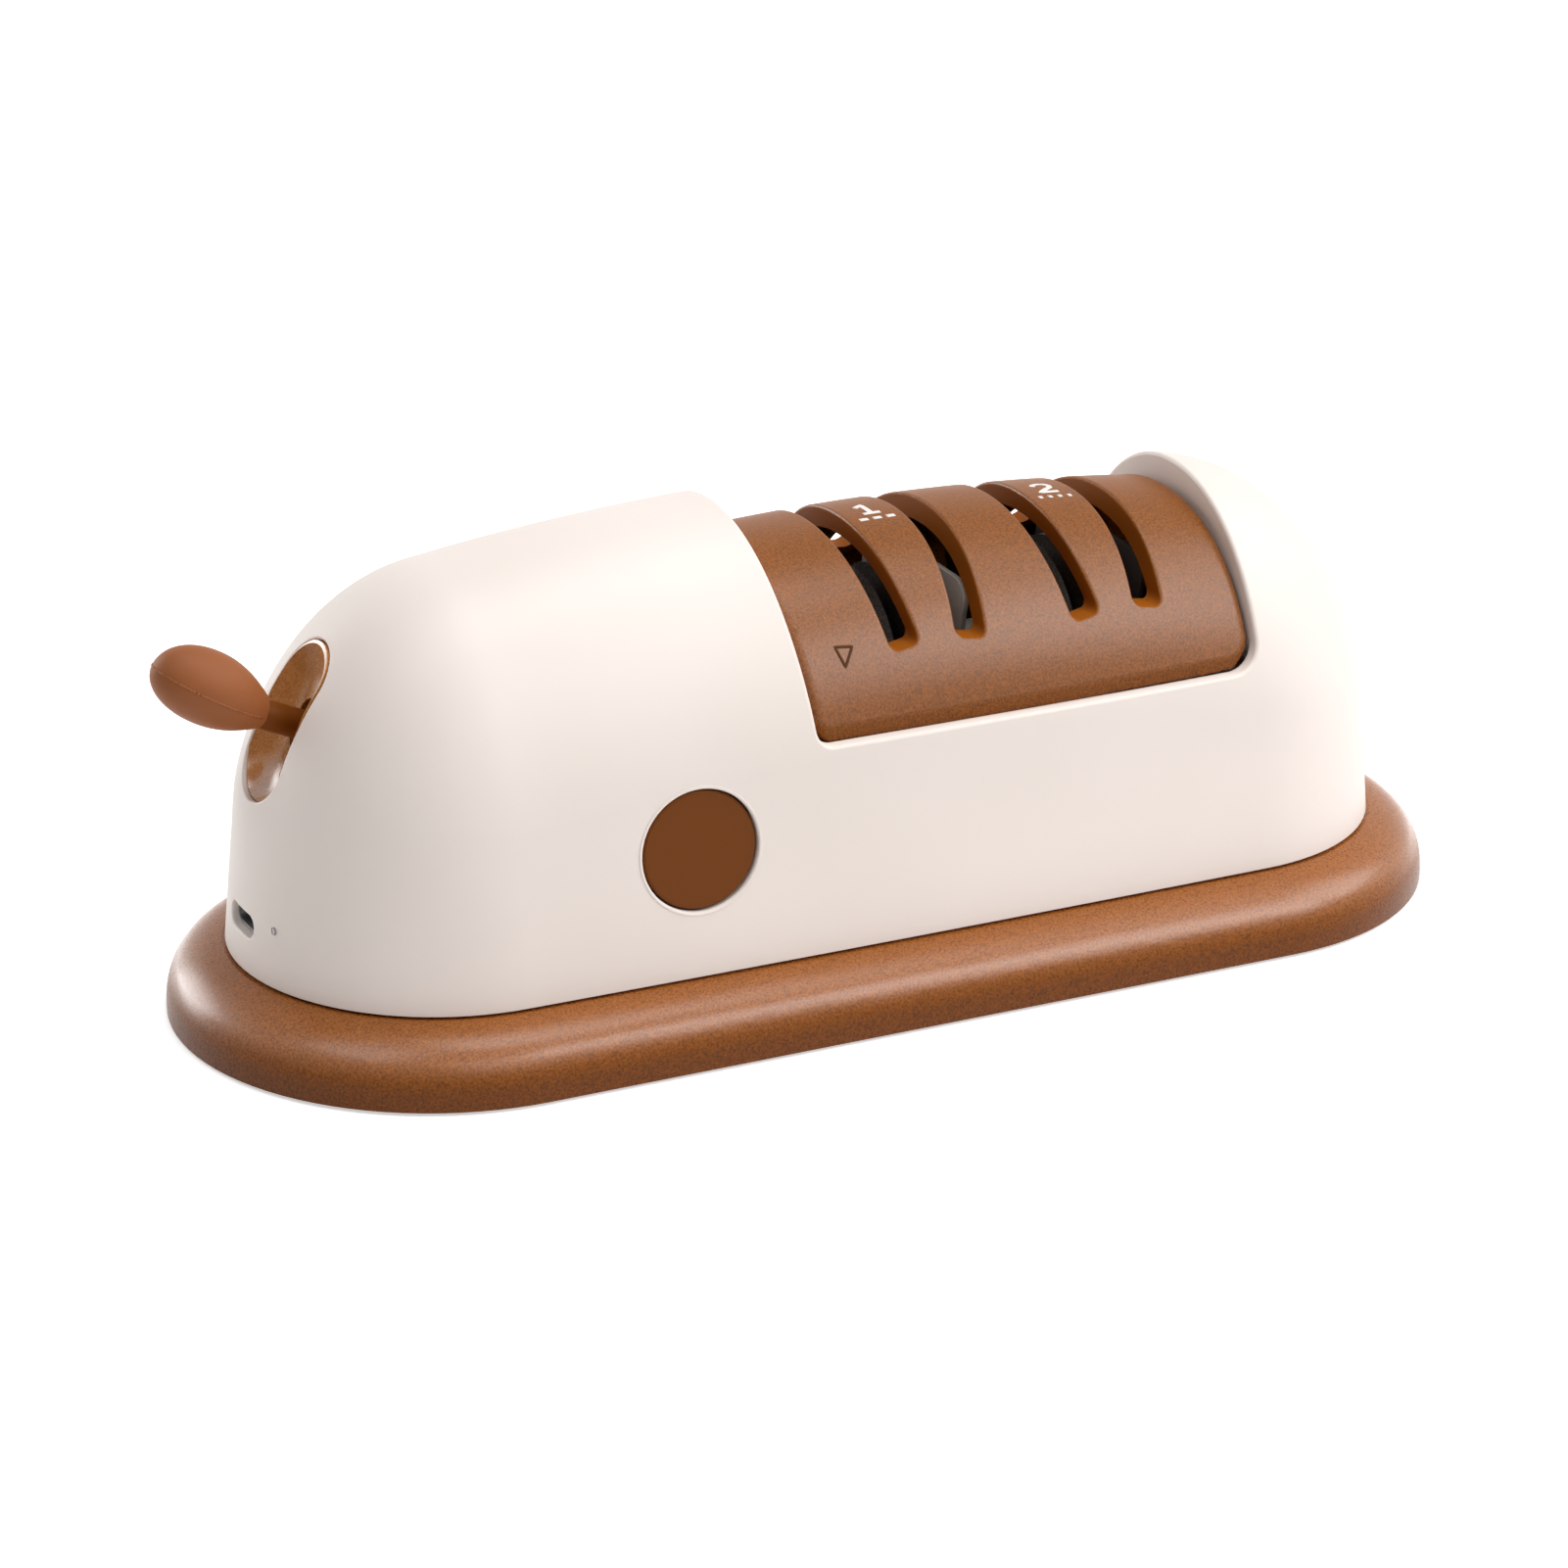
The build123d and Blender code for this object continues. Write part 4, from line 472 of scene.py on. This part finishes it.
# %% Moulded arrow
ARROW_WIDTH = 0.5 * MM
ARROW_HEIGHT = 0.15 * MM
ARROW_CORNERS = [
    Vector(c) * MM for c in ((-8.8, -24.6, 59.3), (-5.9, -24.8, 59.0), (-7.8, -26.4, 56.4))
]
shape = bmesh.new()
lay_line(shape, cartridge_surface, ARROW_CORNERS, ARROW_WIDTH, ARROW_HEIGHT, closed=True)
shaded_brown = moulded("shaded_brown_abs", "#55331C", 0.6, ABS_IOR, 0.5, 0.01, shine=0.1)
finish_piece(shape, "moulded_arrow", shaded_brown, "cartridge")
print("arrow laid")

# %% [markdown]
# ## Lip round the button's hole
# A thin rounded lip runs round the hole that the button sits in. It is part of the housing's
# moulding and catches the light as a bright ring. It is 0.55 mm wide and 0.14 mm high.

# %% Button lip
LIP_STEPS = 96
LIP_RADIUS = 10.2 * MM
LIP_WIDTH = 0.55 * MM
LIP_HEIGHT = 0.14 * MM
OUTSIDE_Y = -0.1
button_low, button_high = (Vector(c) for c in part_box("start_button"))
hole_middle = (button_low + button_high) / 2
housing_surface = search_tree("housing_shell")
lip_points = []
for i in range(LIP_STEPS):
    turn = 2 * math.pi * i / LIP_STEPS
    round_hole = LIP_RADIUS * Vector((math.cos(turn), 0, math.sin(turn)))
    outside = Vector((hole_middle.x, OUTSIDE_Y, hole_middle.z)) + round_hole
    lip_points.append(housing_surface.ray_cast(outside, Vector((0, 1, 0)))[0])
shape = bmesh.new()
lay_line(shape, housing_surface, lip_points, LIP_WIDTH, LIP_HEIGHT, closed=True)
finish_piece(shape, "button_lip", cream, "housing")
print("lip round the button, radius", round(LIP_RADIUS / MM, 2), "mm")

# %% [markdown]
# ## Parting line of the leaf
# The leaf is moulded in two halves of a mould, and a thin line of rubber stands where they meet. It
# runs round the leaf in the plane that holds the leaf's long axis and the lever's pin.

# %% Leaf parting line
LEVER_RISE = math.radians(24.4)
LEAF_RISE = math.radians(31.0)
LEAF_START = 14.8 * MM
SEAM_START = 0.6 * MM
SEAM_WIDTH = 0.4 * MM
SEAM_HEIGHT = 0.12 * MM
pin_low, pin_high = (Vector(c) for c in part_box("lever_pin"))
lever_out = Vector((-math.cos(LEVER_RISE), 0, math.sin(LEVER_RISE)))
leaf_out = Vector((-math.cos(LEAF_RISE), 0, math.sin(LEAF_RISE)))
leaf_up = Vector((math.sin(LEAF_RISE), 0, math.cos(LEAF_RISE)))
leaf_foot = (pin_low + pin_high) / 2 + lever_out * LEAF_START

cut = bmesh.new()
cut.from_mesh(nodes["leaf_knob"].data)
ring = bmesh.ops.bisect_plane(
    cut, geom=cut.verts[:] + cut.edges[:] + cut.faces[:], plane_co=leaf_foot, plane_no=leaf_up
)["geom_cut"]
rim = [v.co.copy() for v in ring if isinstance(v, bmesh.types.BMVert)]
cut.free()
middle = leaf_foot + leaf_out * max((p - leaf_foot).dot(leaf_out) for p in rim) / 2
rim = [p for p in rim if (p - leaf_foot).dot(leaf_out) > SEAM_START]
rim.sort(key=lambda p: math.atan2(p.y, -(p - middle).dot(leaf_out)) % (2 * math.pi))
shape = bmesh.new()
lay_line(shape, search_tree("leaf_knob"), rim, SEAM_WIDTH, SEAM_HEIGHT)
finish_piece(shape, "leaf_parting_line", finishes["leaf_silicone"], "lever")
print("parting line through", len(rim), "points")

# %% [markdown]
# ## Lower edge of the cartridge
# The cartridge's cover hangs over its seat: its outer wall runs straight down almost to the ledge,
# so that hardly any gap shows. The piece is the solid's own mesh with the rounding of its long
# lower edges pushed out to the wall and let down. Towards the ends the rounding comes back.

# %% Cover with its long edges let down
EDGE_ROUND = 2.2 * MM
EDGE_FROM = 28.2 * MM
EDGE_PUSH = 0.85
EDGE_DROP = 0.24 * MM
HEAD_BLEND = 1.5 * MM
TAIL_BLEND = 0.6 * MM
cover_mesh = nodes["cartridge_shell"].data.copy()
cover_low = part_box("cartridge_shell")[0][2]
edge_points = [
    v for v in cover_mesh.vertices
    if v.co.z < cover_low + EDGE_ROUND and abs(v.co.y) > EDGE_FROM
]
head_end, tail_end = (pick(v.co.x for v in edge_points) for pick in (min, max))
for vertex in edge_points:
    place = vertex.co
    from_end = min((place.x - head_end) / HEAD_BLEND, (tail_end - place.x) / TAIL_BLEND)
    share = min(1.0, max(0.0, from_end))
    below = EDGE_ROUND - (place.z - cover_low)
    inset = EDGE_ROUND - math.sqrt(max(0.0, EDGE_ROUND**2 - below**2))
    place.y += math.copysign(EDGE_PUSH * share * inset, place.y)
    place.z -= share * EDGE_DROP * (below / EDGE_ROUND) ** 2
print(len(edge_points), "points moved")

# %% [markdown]
# ## Walls of the slots
# The slots are made by polished steel blades in the mould, so their walls have no spark texture and
# hardly any shine: a plain, deep orange brown. A face belongs to a slot's wall when it lies inside
# the leaning slot and doesn't look out through the cover's side.

# %% Slot walls and the finished cover
# Each slot: which way it leans (towards the head or the tail), and its middle at the slots' floor.
SLOTS = ((-1, 3.15), (1, 14.65), (-1, 35.75), (1, 47.25))
SLOT_REACH = 2.67  # half a slot's width, with a little of its rounded lip
SLOT_FLOOR = 57.7
SLOT_LOWEST = SLOT_FLOOR - 0.3
SLOT_SLOPE = math.tan(math.radians(8.2))
LOOKS_OUT = 0.45


def off_slot(x, z):
    """How far a place is from the middle of the nearest slot, in millimetres."""
    return min(abs(x - middle - lean * SLOT_SLOPE * (z - SLOT_FLOOR)) for lean, middle in SLOTS)


polished_brown = moulded("polished_brown_abs", "#93500F", 0.5, ABS_IOR, 0.5, 0.01, shine=0.06)
cover_mesh.materials.append(polished_brown)
walls = 0
for face in cover_mesh.polygons:
    x, _, z = face.center / MM
    if z > SLOT_LOWEST and off_slot(x, z) < SLOT_REACH and abs(face.normal.y) < LOOKS_OUT:
        face.material_index = 1
        walls += 1
cover = bpy.data.objects.new("cartridge_cover", cover_mesh)
bpy.context.scene.collection.objects.link(cover)
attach(cover, "cartridge")
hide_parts("cartridge_shell")
print(walls, "faces in the slots")

# %% [markdown]
# ## Floor and world
# The sharpener stands on a white floor that runs out of the picture. The world is white to the
# camera, to reflections and through clear plastic, and black to everything else, so that the white
# adds no light to the object. The floor is plain matt white. To the same rays it also glows, which
# lifts it to white and leaves only a faint shadow.


# %% Which rays see the white
def rays_that_see_white(tree):
    """1 for camera, glossy and transmission rays, 0 for the rays that light the object."""
    path = add_node(tree, "ShaderNodeLightPath").outputs
    mirror = add_node(
        tree, "ShaderNodeMath", {"operation": "MAXIMUM"},
        i0=path["Is Glossy Ray"], i1=path["Is Transmission Ray"],
    )
    every = add_node(
        tree, "ShaderNodeMath", {"operation": "MAXIMUM"},
        i0=path["Is Camera Ray"], i1=mirror.outputs[0],
    )
    return every.outputs[0]


# %% World
world = bpy.data.worlds.new("studio")
bpy.context.scene.world = world
world.use_nodes = True
background = world.node_tree.nodes["Background"]
background.inputs["Color"].default_value = (1, 1, 1, 1)
world.node_tree.links.new(rays_that_see_white(world.node_tree), background.inputs["Strength"])
print("world white to the camera and to reflections")

# %% Floor
FLOOR_HALF = 3.0
FLOOR_GLOW = 0.55
floor_mesh = bpy.data.meshes.new("floor")
floor_mesh.from_pydata(
    [(-FLOOR_HALF, -FLOOR_HALF, 0), (FLOOR_HALF, -FLOOR_HALF, 0), (FLOOR_HALF, FLOOR_HALF, 0),
     (-FLOOR_HALF, FLOOR_HALF, 0)], [], [(0, 1, 2, 3)],
)
floor = bpy.data.objects.new("floor", floor_mesh)
bpy.context.scene.collection.objects.link(floor)
floor_paint, tree, shader = new_material("matt_white_floor", "#FFFFFF", 0.9)
shader.inputs["Emission Color"].default_value = (1, 1, 1, 1)
glow = add_node(
    tree, "ShaderNodeMath", {"operation": "MULTIPLY"}, i0=rays_that_see_white(tree), i1=FLOOR_GLOW
)
tree.links.new(glow.outputs[0], shader.inputs["Emission Strength"])
floor_mesh.materials.append(floor_paint)
print("floor", 2 * FLOOR_HALF, "m square")

# %% [markdown]
# ## Lamps
# Soft square lamps stand on a circle round the sharpener, like the soft boxes of a product studio.
# The two strongest are in front and above, so the side and the crown are brightest, and the head
# end falls into a soft shade. Each lamp is placed by its angle round the object and its height.

# %% Lamps round the object
LAMP_SIZE = 0.6
LAMP_DISTANCE = 1.2
AIM = Vector((0, 0, 0.03))
# Each lamp: degrees round from +X, degrees up, and power in watts.
LAMPS = {
    "tail_box": (-10, 40, 4.6),
    "front_box": (-50, 40, 5.3),
    "side_box": (-90, 40, 1.75),
    "top_box": (0, 80, 6.4),
    "back_box": (120, 12, 4.9),
    "head_top_box": (190, 62, 2.9),
}
for name, (azimuth, elevation, power) in LAMPS.items():
    data = bpy.data.lights.new(name, "AREA")
    data.shape, data.size, data.energy = "SQUARE", LAMP_SIZE, power
    lamp = bpy.data.objects.new(name, data)
    turn, rise = math.radians(azimuth), math.radians(elevation)
    outward = Vector(
        (math.cos(turn) * math.cos(rise), math.sin(turn) * math.cos(rise), math.sin(rise))
    )
    lamp.location = AIM + LAMP_DISTANCE * outward
    lamp.rotation_euler = outward.to_track_quat("Z", "Y").to_euler()
    bpy.context.scene.collection.objects.link(lamp)
print(len(LAMPS), "lamps")
